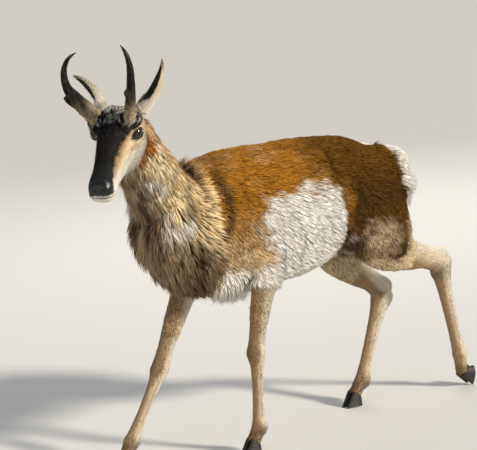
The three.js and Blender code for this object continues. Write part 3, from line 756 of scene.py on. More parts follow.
def eye_axes(side):
    """Forward along the lids, up, and out of the head, for one eye."""
    out = unit(TO_LEFT * -side + TO_NOSE * 0.78 + TO_CROWN * 0.08)
    lids = TO_NOSE * 0.96 - TO_CROWN * 0.28
    lids = unit(lids - np.dot(lids, out) * out)
    up = unit(np.cross(lids, out)) * (1 if side < 0 else -1)
    if np.dot(up, TO_CROWN) < 0:
        up = -up
    return lids, up, out


def lid_height(p):
    """How far the lids are open, up and down, at a place along them."""
    share = np.clip(1 - (np.abs(p) / LID_LONG) ** 2, 0, 1)
    return LID_HIGH * share**0.62, LID_LOW * share**0.8


def eye_centre(side):
    return head_point(EYE[0], -side * EYE[1], EYE[2])


def past_lids(points, side):
    """Points from an eye's centre: offset, place along its axes, distance past the lids."""
    away = points - eye_centre(side)
    p, q, n = (away @ axis for axis in eye_axes(side))
    high, low = lid_height(p)
    return away, p, q, n, np.where(q > 0, q - high, -q - low)


def round_eyes(points, reach, longer, edge):
    """What `edge` makes of the distance past the lids, close to either eye."""
    most = np.zeros(len(points))
    for side in SIDES.values():
        away, p, _, n, gap = past_lids(points, side)
        near = (np.linalg.norm(away, axis=1) < EYE_RADIUS + reach) & (n > 0)
        most = np.maximum(most, near * edge(gap) * (np.abs(p) < LID_LONG + longer))
    return most


def shape_eyes(points):
    """Opens the almond of the lids and lays them over the ball of each eye."""
    for side in SIDES.values():
        centre = eye_centre(side)
        from_eye, p, q, n, gap = past_lids(points, side)
        reach = np.linalg.norm(from_eye, axis=1)
        near = (reach < EYE_RADIUS + 12) & (n > 2)
        inside = near & (gap < 0) & (np.abs(p) < LID_LONG)
        direction = unit(from_eye)
        depth = EYE_RADIUS - LID_SINK * smooth(0, -2.5, gap)
        points[inside] = centre + direction[inside] * depth[inside][:, None]
        rim = near & ~inside
        least = EYE_RADIUS + LID_THICK + LID_SWELL * smooth(1, 5, gap)
        low_rim = rim & (reach < least)
        points[low_rim] = centre + direction[low_rim] * least[low_rim][:, None]
        crease = rim & (gap > 0)
        fold = sum(
            deep * np.exp(-((gap - far) / half) ** 2) * smooth(*fade, q)
            for deep, far, half, fade in LID_CREASES
        )
        points[crease] -= direction[crease] * fold[crease][:, None]
    return points


def lid_rims(bm):
    """A thin dark rim round each eye's opening."""
    for side in SIDES.values():
        centre = eye_centre(side)
        lids, up, out = eye_axes(side)
        ring = []
        for k in range(RIM_STEPS):
            angle = 2 * math.pi * k / RIM_STEPS
            p = LID_LONG * math.cos(angle)
            high, low = lid_height(p)
            q = high if math.sin(angle) > 0 else -low
            n = math.sqrt(max(EYE_RADIUS**2 - p * p - q * q, 20))
            ring.append(centre + unit(p * lids + q * up + n * out) * (EYE_RADIUS + 0.9))
        made = bmesh.ops.create_grid(bm, x_segments=RIM_CORNERS, y_segments=RIM_STEPS, size=1)
        for r in range(RIM_STEPS + 1):
            here = ring[r % RIM_STEPS]
            step = unit(ring[(r + 1) % RIM_STEPS] - ring[(r - 1) % RIM_STEPS])
            high = unit(here - centre)
            wide = unit(np.cross(step, high))
            for k in range(RIM_CORNERS + 1):
                turn = 2 * math.pi * k / RIM_CORNERS
                lift = high * RIM_RISE * math.sin(turn) + wide * RIM_HALF * math.cos(turn)
                made["verts"][r * (RIM_CORNERS + 1) + k].co = here + lift
        bmesh.ops.remove_doubles(bm, verts=made["verts"], dist=0.02)


def head_skin(voxel):
    """The head from its sections and fleshy forms, with its relief, mouth and lids."""
    bm = bmesh.new()
    add_tube(bm, head_rings())
    for (u, v, w), radii in HEAD_FORMS:
        for side in (-1, 1) if v else (1,):
            add_ball(bm, head_point(u, v * side, w), radii, (TO_NOSE, TO_LEFT, TO_CROWN))
    for side in SIDES.values():
        add_ball(bm, eye_centre(side), [EYE_RADIUS + 3] * 3)
    u, v, w = HORN[0][0]
    for side in SIDES.values():
        add_ball(bm, head_point(u, -side * v, w - 2), HORN_BED)
    piece = piece_from("skin_head", bm)
    remesh(piece, voxel, 4)
    points, normals = points_of(piece), normals_of(piece)
    u, v, w = head_place(points)
    push = np.zeros(len(points))
    for (cu, cv, cw), (ru, rv, rw), amount in HEAD_RELIEF:
        for side in (-1, 1) if cv else (1,):
            gap = ((u - cu) / ru) ** 2 + ((v - cv * side) / rv) ** 2 + ((w - cw) / rw) ** 2
            push += amount * np.exp(-gap)
    over_mouth = w - mouth_level(u)
    lips = smooth(196, 208, u)
    push -= MOUTH_DEPTH * np.exp(-((over_mouth / 1.7) ** 2)) * lips
    push += LIP_RISE * np.exp(-(((over_mouth - 5) / 3) ** 2)) * lips
    place_points(piece, shape_eyes(points + normals * push[:, None]))
    rims = bmesh.new()
    lid_rims(rims)
    return [piece, piece_from("skin_lids", rims)]


def ear_frame(word):
    """An ear's base and tip, and its axes: along it, the way it opens, and across."""
    base, tip, opens = EARS[word]
    root, end = head_point(*base), head_point(*tip)
    along = unit(end - root)
    facing = opens[0] * TO_NOSE + opens[1] * TO_LEFT + opens[2] * TO_CROWN
    facing = unit(facing - np.dot(facing, along) * along)
    return root, end, along, facing, np.cross(along, facing)


def ear_skin(word):
    """A cupped ear from a grid, closed into a tube at its base, with a thin wall."""
    root, end, _, facing, side = ear_frame(word)
    rows = through(EAR, 6)
    bm = bmesh.new()
    made = bmesh.ops.create_grid(bm, x_segments=EAR_ACROSS, y_segments=len(rows) - 1, size=1)
    for r, (t, wide, deep, curl) in enumerate(rows):
        begin = math.radians(100 + 66 * float(smooth(0.02, 0.34, t)))
        centre = root + (end - root) * t + facing * curl
        for k in range(EAR_ACROSS + 1):
            turn = begin + (3 * math.pi - 2 * begin) * k / EAR_ACROSS
            edge = abs(2 * k / EAR_ACROSS - 1) ** 6
            reach = deep / 2 * (1 + 0.12 * edge)
            spot = centre + side * math.cos(turn) * wide / 2 + facing * math.sin(turn) * reach
            made["verts"][r * (EAR_ACROSS + 1) + k].co = spot
    bmesh.ops.recalc_face_normals(bm, faces=bm.faces)
    piece = piece_from("skin_ear", bm)
    wall = piece.modifiers.new("Wall", "SOLIDIFY")
    wall.thickness = EAR_WALL * MM
    wall.offset = 0
    apply_modifiers(piece)
    return piece


# Markings: each is laid over those before it, with edges at places in millimetres.

PALETTE = {
    "ochre": (0.385, 0.168, 0.018),
    "saddle": (0.23, 0.098, 0.014),
    # Haunch: a dark brown that is mostly painted shade.
    "haunch_brown_and_shade": (0.046, 0.023, 0.007),
    "white": (0.88, 0.85, 0.77),
    "cream": (0.74, 0.58, 0.36),
    "ruff": (0.78, 0.56, 0.31),
    # Ruff shade: painted shade between the locks, under the neck and behind the ruff; also the
    # dark brown of the crown.
    "ruff_shade_and_brown": (0.062, 0.034, 0.015),
    # Mane: dark hair of nape, withers and joints; also the tone of a painted shadow in the
    # stifle's fold.
    "mane": (0.052, 0.026, 0.010),
    "rust": (0.34, 0.105, 0.012),
    # Mask: the face's black-brown, made nearly black as painted shade; also the ear's dark tip and
    # the painted shade in its hollow.
    "mask": (0.004, 0.003, 0.002),
    "nose": (0.004, 0.004, 0.004),
    "ear": (0.58, 0.49, 0.36),
    "limb": (0.76, 0.64, 0.46),
    "limb_front": (0.36, 0.22, 0.095),
}


def tone(name):
    look = getattr(bpy.context.scene, "pronghorn_coat", None)
    return np.array(getattr(look, name) if look else PALETTE[name], float)


def mixed(colour, other, share):
    """A row of colours, each moved towards another by its share."""
    return colour + (np.asarray(other) - colour) * np.clip(share, 0, 1)[:, None]


def plain(name, points):
    return np.tile(tone(name), (len(points), 1))


def dyed(colour, name, share):
    return mixed(colour, tone(name), share)


def band(low, high, soft, x):
    """1 between two places, with a soft edge at each."""
    return smooth(low - soft, low + soft, x) * smooth(high + soft, high - soft, x)


def ragged(points, size, reach, seed):
    """An edge's wander: broad waves, and frays that follow the lie of the hair."""
    broad = value_noise(points, size, seed) - 0.5
    along = points * [0.34, 0.6, 1.0] + np.outer(points[:, 0], [0, 0, 0.3])
    return reach * (broad + 1.3 * (value_noise(along, 11, seed + 60) - 0.5))


# Edges of the markings: heights z, and x there, of the white rump, the haunch's painted
# shade, and the front and back of the white side; and x, and z there, of the pale shank.
RUMP_EDGE = ([540, 595, 639, 678, 714, 756, 800], [700, 690, 676, 640, 624, 606, 586])
HAUNCH_SHADE_EDGE = ([560, 690, 726, 752, 785, 900], [384, 376, 366, 326, 288, 276])
SIDE_FRONT = ([470, 545, 591, 651, 708, 749], [40, 96, 110, 84, 66, 92])
SIDE_BACK = ([500, 560, 589, 627, 693, 734], [362, 372, 374, 370, 362, 330])
SHANK_EDGE = ([355, 391, 429, 470, 564, 640], [560, 534, 520, 504, 482, 474])


def white_rump(points, colour):
    x, z = points[:, 0], points[:, 2]
    edge = np.interp(z, *RUMP_EDGE) + ragged(points, 40, 22, 21)
    return dyed(colour, "white", smooth(-12, 14, x - edge))


def trunk_colour(points):
    """Ochre back, white lower side and belly, a brown haunch that is mostly painted shade,
    white rump, and painted shadows behind the ruff and in the stifle's fold.
    """
    x = points[:, 0] + ragged(points, 60, 52, 5)
    y = np.abs(points[:, 1])
    z = points[:, 2] + ragged(points, 56, 44, 3)
    colour = plain("ochre", points)
    worn = value_noise(points * [0.5, 1, 1], 30, 22)
    colour = dyed(colour, "cream", 0.22 * smooth(0.45, 0.9, worn))
    colour = dyed(colour, "saddle", 0.7 * smooth(820, 880, z) * smooth(-20, 200, x))
    shoulder = smooth(735, 560, z) * smooth(170, 30, x)
    colour = dyed(colour, "cream", 0.7 * shoulder)
    # The haunch's brown, mostly painted shade: darker towards the bottom, warmer at the top.
    brown = mixed(plain("haunch_brown_and_shade", points), tone("saddle") * 0.55, smooth(650, 800, z))
    drift = 110 * (value_noise(points, 95, 26) - 0.5)
    haunch = smooth(-92, 70, x + drift - np.interp(z, *HAUNCH_SHADE_EDGE))
    colour = mixed(colour, brown, 0.94 * haunch)
    side = smooth(-34, 34, x - np.interp(z, *SIDE_FRONT))
    side = side * smooth(-14, 22, np.interp(z, *SIDE_BACK) - x) * smooth(764, 712, z)
    colour = dyed(colour, "white", side)
    belly = smooth(566, 516, z) * band(-60, 408, 30, x)
    colour = dyed(colour, "white", 0.92 * belly)
    colour = white_rump(points, colour)
    inner = smooth(640, 610, z) * smooth(64, 44, y) * smooth(430, 470, x)
    colour = dyed(colour, "white", inner)
    # A painted shadow in the fold between the belly and the thigh, in the mane's dark brown.
    fold = ((points[:, 0] - 388) / 28) ** 2 + ((points[:, 2] - 556) / 66) ** 2
    colour = dyed(colour, "mane", 0.8 * np.exp(-fold) * smooth(20, 60, y))
    bib = band(-58, 40, 12, points[:, 0]) * smooth(566, 540, points[:, 2]) * smooth(112, 92, y)
    colour = dyed(colour, "white", bib)
    # A painted shadow down the shoulder, where the ruff's long hair hangs over it.
    line = -64 + 70 * (value_noise(points, 90, 25) - 0.5)
    ruff_shadow = np.exp(-(((points[:, 0] - line) / 15) ** 2)) * band(590, 840, 40, points[:, 2])
    colour = dyed(colour, "ruff_shade_and_brown", 0.85 * ruff_shadow)
    mane = band(-170, 10, 40, x) * smooth(832, 872, z) * smooth(70, 30, y)
    return dyed(colour, "mane", 0.5 * mane)


def thigh_colour(points):
    """Brown haunch that is mostly painted shade, pale round the stifle and below, white behind and
    inside.
    """
    x, y = points[:, 0], np.abs(points[:, 1])
    z = points[:, 2] + ragged(points, 44, 34, 7)
    # The haunch's dark brown, mostly painted shade.
    colour = plain("haunch_brown_and_shade", points)
    colour = dyed(colour, "ochre", 0.45 * value_noise(points, 70, 9))
    gap = ((x - 520) / 76) ** 2 + ((z - 560) / 60) ** 2
    worn = 0.35 + 0.65 * value_noise(points, 16, 23)
    colour = dyed(colour, "cream", 0.85 * worn * smooth(1.5, 0.1, gap) * smooth(60, 90, y))
    colour = dyed(colour, "cream", 0.9 * smooth(18, -24, z - np.interp(x, *SHANK_EDGE)))
    corner = smooth(618, 572, z) * smooth(596, 650, x)
    colour = dyed(colour, "cream", 0.9 * corner)
    colour = white_rump(points, colour)
    return dyed(colour, "white", smooth(72, 50, y) * smooth(660, 620, z))


def neck_colour(points):
    """Cream ruff with painted shade between its locks, under the throat and low on the chest,
    painted light on its side, white bands, a dark nape and a rust stripe behind the cheek.
    """
    centres = through([row[0] for row in NECK], 6)
    gap = ((points[:, None] - centres[None, ::3]) ** 2).sum(2)
    near = gap.argmin(1) * 3
    share = near / (len(centres) - 1)
    share = share + 0.05 * (value_noise(points, 24, 10) - 0.5)
    out = unit(points - centres[near])
    along = directions(centres)[near]
    back = unit(np.cross(np.cross(along, [1.0, 0, 0]), along) * -1)
    back = np.where(back[:, :1] < 0, -back, back)
    top = (out * back).sum(1)
    streak = value_noise(points * [1, 1, 0.35], 13, 11)
    colour = plain("ruff", points)
    colour = dyed(colour, "cream", 0.8 * smooth(0.3, 0.75, streak))
    # Painted shade in the gaps between the locks.
    shade = value_noise(points * [1, 1, 0.5], 30, 12)
    colour = dyed(colour, "ruff_shade_and_brown", 0.8 * smooth(0.56, 0.84, shade))
    colour = dyed(colour, "ochre", 0.4 * smooth(0.45, 0.9, top))
    lit = smooth(0.25, 0.6, share) * smooth(-0.5, 0.0, top) * smooth(0.8, 0.45, top)
    colour = mixed(colour, tone("cream") * 1.1, 0.95 * lit * smooth(0.15, 0.5, streak))
    nape = smooth(0.84, 0.97, top) * smooth(0.12, 0.3, share)
    colour = dyed(colour, "mane", 0.7 * nape)
    # Painted shade under the throat.
    throat = smooth(-0.3, -0.7, top) * smooth(0.9, 0.7, share)
    colour = dyed(colour, "ruff_shade_and_brown", 0.85 * throat * (1 - 0.6 * streak))
    slant = share + 0.10 * top + 0.05 * (streak - 0.5)
    bands = band(0.46, 0.62, 0.04, slant) + band(0.13, 0.27, 0.04, slant)
    beside = smooth(-0.9, -0.55, top) * smooth(0.1, -0.3, top)
    colour = dyed(colour, "white", 0.8 * beside * bands * smooth(0.25, 0.6, streak))
    # Painted shade low on the chest.
    low = smooth(0.16, 0.0, share) * smooth(0.3, -0.2, top)
    colour = dyed(colour, "ruff_shade_and_brown", 0.5 * low)
    stripe = band(0.79, 0.90, 0.02, share) * smooth(0.75, 0.35, top) * smooth(-0.85, -0.55, top)
    colour = dyed(colour, "rust", 0.95 * stripe)
    behind = smooth(0.9, 0.93, share) * smooth(0.5, 0.1, top) * 0.8
    return dyed(colour, "cream", behind)


# The lower edge of the dark mask, carried towards the eye as painted shade: u, and w there.
BLAZE_AND_SHADE_EDGE = ([30, 70, 110, 150, 190, 230, 262, 290], [44, 24, 15, 3, -14, -31, -50, -64])


def head_colour(points):
    """White cheeks and chin, a dark mask from the brow down the muzzle, made nearly black
    and carried to the eye as painted shade, and a black nose.
    """
    u, v, w = head_place(points)
    v = np.abs(v)
    rough = 7 * (value_noise(points, 14, 14) - 0.5) + 4 * (value_noise(points, 5, 15) - 0.5)
    w, u = w + rough, u + rough
    colour = plain("cream", points)
    colour = dyed(colour, "white", 0.75 * smooth(-20, -60, w))
    crown = smooth(16, 32, w) * smooth(86, 58, u)
    grizzled = value_noise(points, 6, 24)
    colour = dyed(colour, "ruff_shade_and_brown", crown)
    colour = dyed(colour, "white", 0.8 * crown * smooth(0.3, 0.65, grizzled))
    edge = np.interp(u, *BLAZE_AND_SHADE_EDGE)
    soft = smooth(-26, -2, w - edge) * smooth(70, 110, u) * smooth(262, 225, u)
    colour = mixed(colour, tone("ochre") * 0.5, 0.7 * soft)
    # The dark mask, made nearly black and reaching to the eye as painted shade.
    blaze_and_shade = smooth(-5, 5, w - edge) * smooth(36, 60, u)
    colour = dyed(colour, "mask", blaze_and_shade)
    frost = smooth(22, 36, w) * smooth(116, 92, u) * smooth(0.4, 0.7, grizzled)
    colour = mixed(colour, tone("white") * 0.75, 0.6 * frost)
    ring = np.exp(-(((u - EYE[0]) / 27) ** 2 + ((w - EYE[2]) / 19) ** 2) ** 2)
    colour = dyed(colour, "cream", 0.9 * ring * smooth(30, 40, v) * smooth(17, 5, w))
    nose = smooth(262, 274, u) * smooth(-75, -68, w)
    colour = dyed(colour, "nose", nose)
    jaw = np.exp(-(((u - 22) / 20) ** 2 + ((w + 84) / 26) ** 2)) * smooth(36, 46, v)
    colour = dyed(colour, "rust", 0.85 * jaw)
    rim = round_eyes(points, 9, 6, lambda gap: smooth(4.8, 2.4, gap))
    colour = dyed(colour, "nose", rim)
    mouth = np.exp(-(((w - mouth_level(u)) / 2.6) ** 2)) * smooth(200, 212, u)
    return dyed(colour, "nose", 0.9 * mouth)


def ear_colour(points, share, inside):
    """Pale back, a hollow darkened as painted shade, and a dark tip."""
    colour = plain("ear", points)
    colour = dyed(colour, "white", 0.5 * smooth(0.6, 0.2, share) * (1 - inside))
    dark = smooth(0.8, 0.97, share + 0.1 * (value_noise(points, 12, 16) - 0.5))
    colour = dyed(colour, "mask", 0.8 * dark)
    colour = mixed(colour, tone("ruff") * 0.6, 0.7 * dark * (1 - inside))
    # Painted shade in the ear's hollow.
    return dyed(colour, "mask", 0.93 * inside * smooth(0.06, 0.3, share))


def limb_colour(points, start, end, share):
    """Cream legs, tan in front, browner over the joint, with painted shade beside the tendons."""
    aft = points[:, 0] - (start[0] + (end[0] - start[0]) * share)
    rough = 6 * (value_noise(points, 20, 17) - 0.5)
    colour = plain("limb", points)
    colour = dyed(colour, "limb_front", 0.85 * smooth(3, -12, aft + rough))
    colour = dyed(colour, "white", 0.6 * smooth(2, 16, aft + rough))
    joint = np.exp(-((share - np.round(share)) / 0.12) ** 2) * smooth(4, -10, aft + rough)
    joint = joint * smooth(200, 240, points[:, 2])
    colour = dyed(colour, "mane", 0.4 * joint)
    # Painted shade in the hollow beside the tendon.
    groove_shade = np.exp(-(((aft - 3) / 3.5) ** 2)) * band(0.16, 0.85, 0.08, share)
    colour = mixed(colour, tone("limb_front") * 0.6, 0.4 * groove_shade * smooth(330, 290, points[:, 2]))
    foot = smooth(96, 60, points[:, 2] + rough)
    return mixed(colour, tone("limb_front") * 0.55, 0.7 * foot)


# The coat

# The two kinds of tuft. Corners 0 to 2 stand at the root, a blade's 3 to 5 at its bend,
# and the last is the tip. Tones: the middle, and the spread by clump and by tuft.
BLADE = {
    "faces": [
        (0, 1, 4, 3), (1, 2, 5, 4), (2, 0, 3, 5), (3, 4, 6), (4, 5, 6), (5, 3, 6), (0, 2, 1)
    ],
    "shades": (0, 0, 0, 0.62, 0.62, 0.62, 1),
    "tones": (0.82, 0.30, 0.14),
    "patch": [(0, 0), (1, 0), (0.5, 0.2), (0, 0.6), (1, 0.6), (0.5, 0.7), (0.5, 1)],
    "limit": 19500,
}
SPIKE = {
    "faces": [(0, 1, 3), (1, 2, 3), (2, 0, 3), (0, 2, 1)],
    "shades": (0.1, 0.1, 0.1, 1),
    "tones": (0.92, 0.14, 0.06),
    "patch": [(0, 0), (1, 0), (0.5, 0.2), (0.5, 1)],
    "limit": 49000,
}
# Millimetres of a tuft that stand in the skin, and the size of its patch on the unwrap.
ROOT_DEPTH = 1.2
PATCH = 0.003
# A blade's bend: its share of the length, how far it is raised, and its width there.
BEND_AT, BEND_RISE, BEND_WIDTH = 0.5, 0.10, 0.8
# Tufts to the square millimetre of legs and ears; the body's and head's are by place.
LEG_DENSITY = 0.15
EAR_DENSITY = 0.16


def scatter(piece, density, rng):
    """Seeded roots over a skin, `density(points)` to the square millimetre."""
    mesh = piece.data
    mesh.calc_loop_triangles()
    corners = np.zeros(len(mesh.loop_triangles) * 3, np.int32)
    mesh.loop_triangles.foreach_get("vertices", corners)
    corners = corners.reshape(-1, 3)
    points, normals = points_of(piece), normals_of(piece)
    a, b, c = (points[corners[:, i]] for i in range(3))
    area = np.linalg.norm(np.cross(b - a, c - a), axis=1) / 2
    wanted = area * density((a + b + c) / 3)
    count = np.floor(wanted + rng.random(len(wanted))).astype(int)
    pick = np.repeat(np.arange(len(count)), count)
    share = rng.random((len(pick), 2))
    over = share.sum(1) > 1
    share[over] = 1 - share[over]
    weight = np.stack([1 - share.sum(1), share[:, 0], share[:, 1]], 1)
    roots = np.einsum("ij,ijk->ik", weight, points[corners[pick]])
    out = unit(np.einsum("ij,ijk->ik", weight, normals[corners[pick]]))
    return roots, out


def clumps(points, size):
    """The clump that each tuft leans to, with the clump sizes taken in steps."""
    middle, mark = np.zeros_like(points), np.zeros(len(points))
    step = np.maximum(np.round(size / 5) * 5, 5)
    for value in np.unique(step):
        own = step == value
        middle[own], mark[own] = nearest_cell(points[own], value, 31)
    return middle, mark


def tuft_corners(roots, out, coat, rng, kind):
    """The corners of every tuft, in the order of its kind, and each clump's number."""
    count = len(roots)
    flow = coat["flow"] - (coat["flow"] * out).sum(1)[:, None] * out
    flow = unit(flow + coat["stray"][:, None] * rng.normal(size=(count, 3)))
    flow = unit(flow - (flow * out).sum(1)[:, None] * out)
    across = unit(np.cross(out, flow))
    length = coat["length"] * (0.8 + 0.4 * rng.random(count))
    middle, mark = clumps(roots + flow * length[:, None] * 0.6, coat["clump"])
    lift = coat["lift"] * (0.65 + 0.45 * mark + 0.4 * rng.random(count))
    tip = roots + flow * (length * np.cos(lift))[:, None] + out * (length * np.sin(lift))[:, None]
    aside = ((middle - tip) * across).sum(1)[:, None] * across
    tip = tip + aside * coat["pull"][:, None]
    half = (coat["width"] * (0.75 + 0.5 * rng.random(count)) / 2)[:, None]
    thick = half * 0.5
    sunk = roots - out * ROOT_DEPTH
    corners = [sunk - across * half, sunk + across * half, sunk + out * thick]
    if kind is BLADE:
        bend = roots + (tip - roots) * BEND_AT + out * (length * BEND_RISE)[:, None]
        corners += [
            bend - across * half * BEND_WIDTH,
            bend + across * half * BEND_WIDTH,
            bend + out * thick * BEND_WIDTH,
        ]
    return np.stack([*corners, tip], 1), mark


def grow(name, roots, out, coat, rng, kind):
    """One mesh of closed tufts. `coat` holds, for each root, its flow, length, width,
    lift, clump size and pull, root and tip colours, the root's darkened as painted shade,
    and place on the unwrap."""
    points, mark = tuft_corners(roots, out, coat, rng, kind)
    count, each = points.shape[:2]
    loops = np.concatenate([np.array(f) for f in kind["faces"]])
    totals = np.tile([len(f) for f in kind["faces"]], count)
    corners = (np.arange(count)[:, None] * each + loops).ravel()
    mesh = bpy.data.meshes.new(name)
    mesh.vertices.add(count * each)
    mesh.vertices.foreach_set("co", ((points.reshape(-1, 3) + SHIFT) * MM).ravel())
    mesh.loops.add(len(corners))
    mesh.loops.foreach_set("vertex_index", corners)
    mesh.polygons.add(len(totals))
    mesh.polygons.foreach_set("loop_start", np.concatenate([[0], np.cumsum(totals)[:-1]]))
    mesh.polygons.foreach_set("loop_total", totals)
    mesh.polygons.foreach_set("use_smooth", [True] * len(totals))
    mesh.update(calc_edges=True)
    middle, by_clump, by_tuft = kind["tones"]
    shade = middle + by_clump * mark + by_tuft * rng.normal(size=count)
    shade = np.clip(shade, 0.45, 1.35)[:, None]
    low, high = coat["low"] * shade, coat["high"] * shade
    paint(mesh, np.stack([low + (high - low) * s for s in kind["shades"]], 1).reshape(-1, 3))
    spots = (coat["uv"] * (1 - PATCH))[:, None] + np.array(kind["patch"])[loops] * PATCH
    mesh.uv_layers.new(name="OFBake").data.foreach_set("uv", spots.reshape(-1))
    return in_scene(name, mesh)


def paint(mesh, tones, wet=None):
    """Puts a colour on each vertex, and how wet or worn smooth it is."""
    layer = mesh.color_attributes.new("Coat", "FLOAT_COLOR", "POINT")
    full = np.concatenate([np.clip(tones, 0.0008, 0.95), np.ones((len(tones), 1))], 1)
    layer.data.foreach_set("color", full.ravel())
    value = mesh.attributes.new("Wet", "FLOAT", "POINT")
    value.data.foreach_set("value", np.zeros(len(tones)) if wet is None else wet)


def nearest_limb(points, start, end):
    """Distance from the nearer of the two limbs' bones, and the share along it."""
    best = np.full(len(points), FAR)
    share = np.zeros(len(points))
    for leg in LEGS.values():
        t, off = along_segment(points, leg[start], leg[end])
        share = np.where(off < best, t, share)
        best = np.minimum(best, off)
    return best, share


NECK_AXIS = unit(np.array([0.60, 0.17, -0.78]))
RUFF_FLOW = np.array([0.24, 0, -1.0]) * 0.7 + NECK_AXIS * 0.6


def body_fields(points):
    """Length, width, lift, density and the like over the trunk, neck and thighs."""
    x, y, z = points[:, 0], np.abs(points[:, 1]), points[:, 2]
    fore, fore_share = nearest_limb(points, "elbow", "knee")
    hind, hind_share = nearest_limb(points, "stifle", "hock")
    arm = smooth(66, 46, fore) * smooth(0.0, 0.16, fore_share) * smooth(520, 488, z)
    shank = smooth(84, 60, hind) * smooth(0.2, 0.5, hind_share)
    neck = smooth(-84, -112, x) * (1 - arm)
    near_head = smooth(930, 1000, z) * neck
    thigh = smooth(690, 620, z) * smooth(400, 450, x)
    belly = smooth(540, 500, z) * (1 - thigh) * smooth(70, 100, x)
    tuft = band(-70, 46, 12, x) * smooth(552, 520, z) * smooth(104, 80, y)
    tuft = tuft * np.maximum(smooth(52, 74, fore), smooth(496, 516, z))
    rump = smooth(-10, 26, x - np.interp(z, *RUMP_EDGE)) * (1 - shank) * smooth(812, 770, z)
    tail = smooth(706, 722, x) * smooth(30, 20, y)
    fringe = smooth(-158, -118, x) * neck * band(600, 850, 40, z)

    def field(base, *over):
        value = np.full(len(points), float(base))
        for mask, amount in over:
            value = value + (amount - value) * mask
        return value

    flow = np.tile([1.0, 0, -0.34], (len(points), 1))
    flow[:, 2] -= 0.55 * smooth(800, 640, z) * smooth(260, 30, x)
    flow[:, 2] -= 0.35 * smooth(800, 640, z)
    for share, way in (
        (thigh, [0.42, 0, -0.9]),
        (rump, [0.75, 0, -0.62]),
        (arm, [0.2, 0, -0.98]),
        (shank, [0.85, 0, -0.5]),
        (tail, [0.3, 0, -0.95]),
        (neck, RUFF_FLOW),
        (0.8 * fringe, [0.95, 0, -0.4]),
        (tuft, [0.1, 0, -1]),
    ):
        flow = mixed(flow, way, share)
    return {
        "neck": neck,
        "thigh": np.maximum(thigh, shank),
        "limb": np.maximum(arm, shank),
        "flow": flow,
        "length": field(
            31, (belly, 36), (thigh, 22), (arm, 13), (shank, 11), (neck, 62),
            (near_head, 26), (rump, 32), (tail, 44), (tuft, 60),
        ),
        "width": field(4.0, (thigh, 3.7), (arm, 2.5), (shank, 2.5), (neck, 4.9), (near_head, 3.3)),
        "lift": field(
            0.21, (belly, 0.19), (thigh, 0.20), (arm, 0.22), (shank, 0.2), (neck, 0.33),
            (near_head, 0.34), (rump, 0.3), (tail, 0.3), (tuft, 0.44), (fringe, 0.52),
        ),
        "clump": field(15, (neck, 20), (rump, 15), (tuft, 20)),
        "pull": field(0.35, (neck, 0.62), (near_head, 0.4), (arm, 0.15), (shank, 0.15)),
        "stray": field(0.09, (neck, 0.10), (arm, 0.08), (shank, 0.08)),
        # How dark the roots are: painted shade deep in the coat.
        "dark": field(0.42, (neck, 0.3), (arm, 0.82), (shank, 0.82)),
        "density": field(0.076, (neck, 0.078), (arm, 0.14), (shank, 0.14), (near_head, 0.12)),
    }


def body_colour(points, fields):
    """The trunk's, the thighs' and the neck's colours, each where its own hair grows."""
    colour = trunk_colour(points)
    colour = mixed(colour, thigh_colour(points), fields["thigh"])
    x, z = points[:, 0], points[:, 2]
    arm = fields["limb"] * smooth(200, 150, x)
    left = points[:, 1] < 0
    aft = x - np.where(left, 40 + (z - 400) * 0.24, -120 + (z - 380) * 0.5)
    limb = plain("limb", points)
    limb = dyed(limb, "limb_front", 0.85 * smooth(8, -14, aft))
    limb = dyed(limb, "white", 0.6 * smooth(10, 34, aft))
    colour = mixed(colour, limb, arm)
    return mixed(colour, neck_colour(points), fields["neck"])


def tile_uv(along, angle, tile, tiles):
    """A place on an unwrap: round the body across, along the body up, in tiles."""
    u = (tile + 0.04 + 0.92 * (angle / (2 * np.pi) % 1)) / tiles
    return np.stack([u, np.clip(along, 0, 1)], 1)


def body_uv(points, neck):
    """The trunk's hair on one half of the unwrap, the neck's on the other."""
    x, y, z = points.T
    trunk = tile_uv((x + 260) / 1040, np.arctan2(z - 670, y), 0, 2)
    offset = points - np.array([-60.0, 0, 660])
    along = -(offset @ NECK_AXIS)
    side = unit(np.cross(NECK_AXIS, [0, 0, 1.0]))
    high = np.cross(side, NECK_AXIS)
    around = tile_uv((along + 160) / 700, np.arctan2(offset @ high, offset @ side), 1, 2)
    return np.where(neck[:, None] > 0.5, around, trunk)


def chosen(coat, mask):
    """The same coat, only for some of its tufts."""
    return {k: v[mask] for k, v in coat.items()}


def split_names(label, count, limit):
    """A name for each of the pieces that a coat is shared out to."""
    parts = max(1, math.ceil(count / limit))
    return [f"{label}_{i + 1}" for i in range(parts)] if parts > 1 else [label]


def grow_pieces(label, roots, out, coat, order, rng, kind):
    """Grows one region's tufts, in as many pieces as the size limit asks for."""
    names = split_names(label, len(roots), kind["limit"])
    rank = np.argsort(order, kind="stable")
    pieces = []
    for name, pick in zip(names, np.array_split(rank, len(names))):
        pieces.append(grow(name, roots[pick], out[pick], chosen(coat, pick), rng, kind))
    return pieces


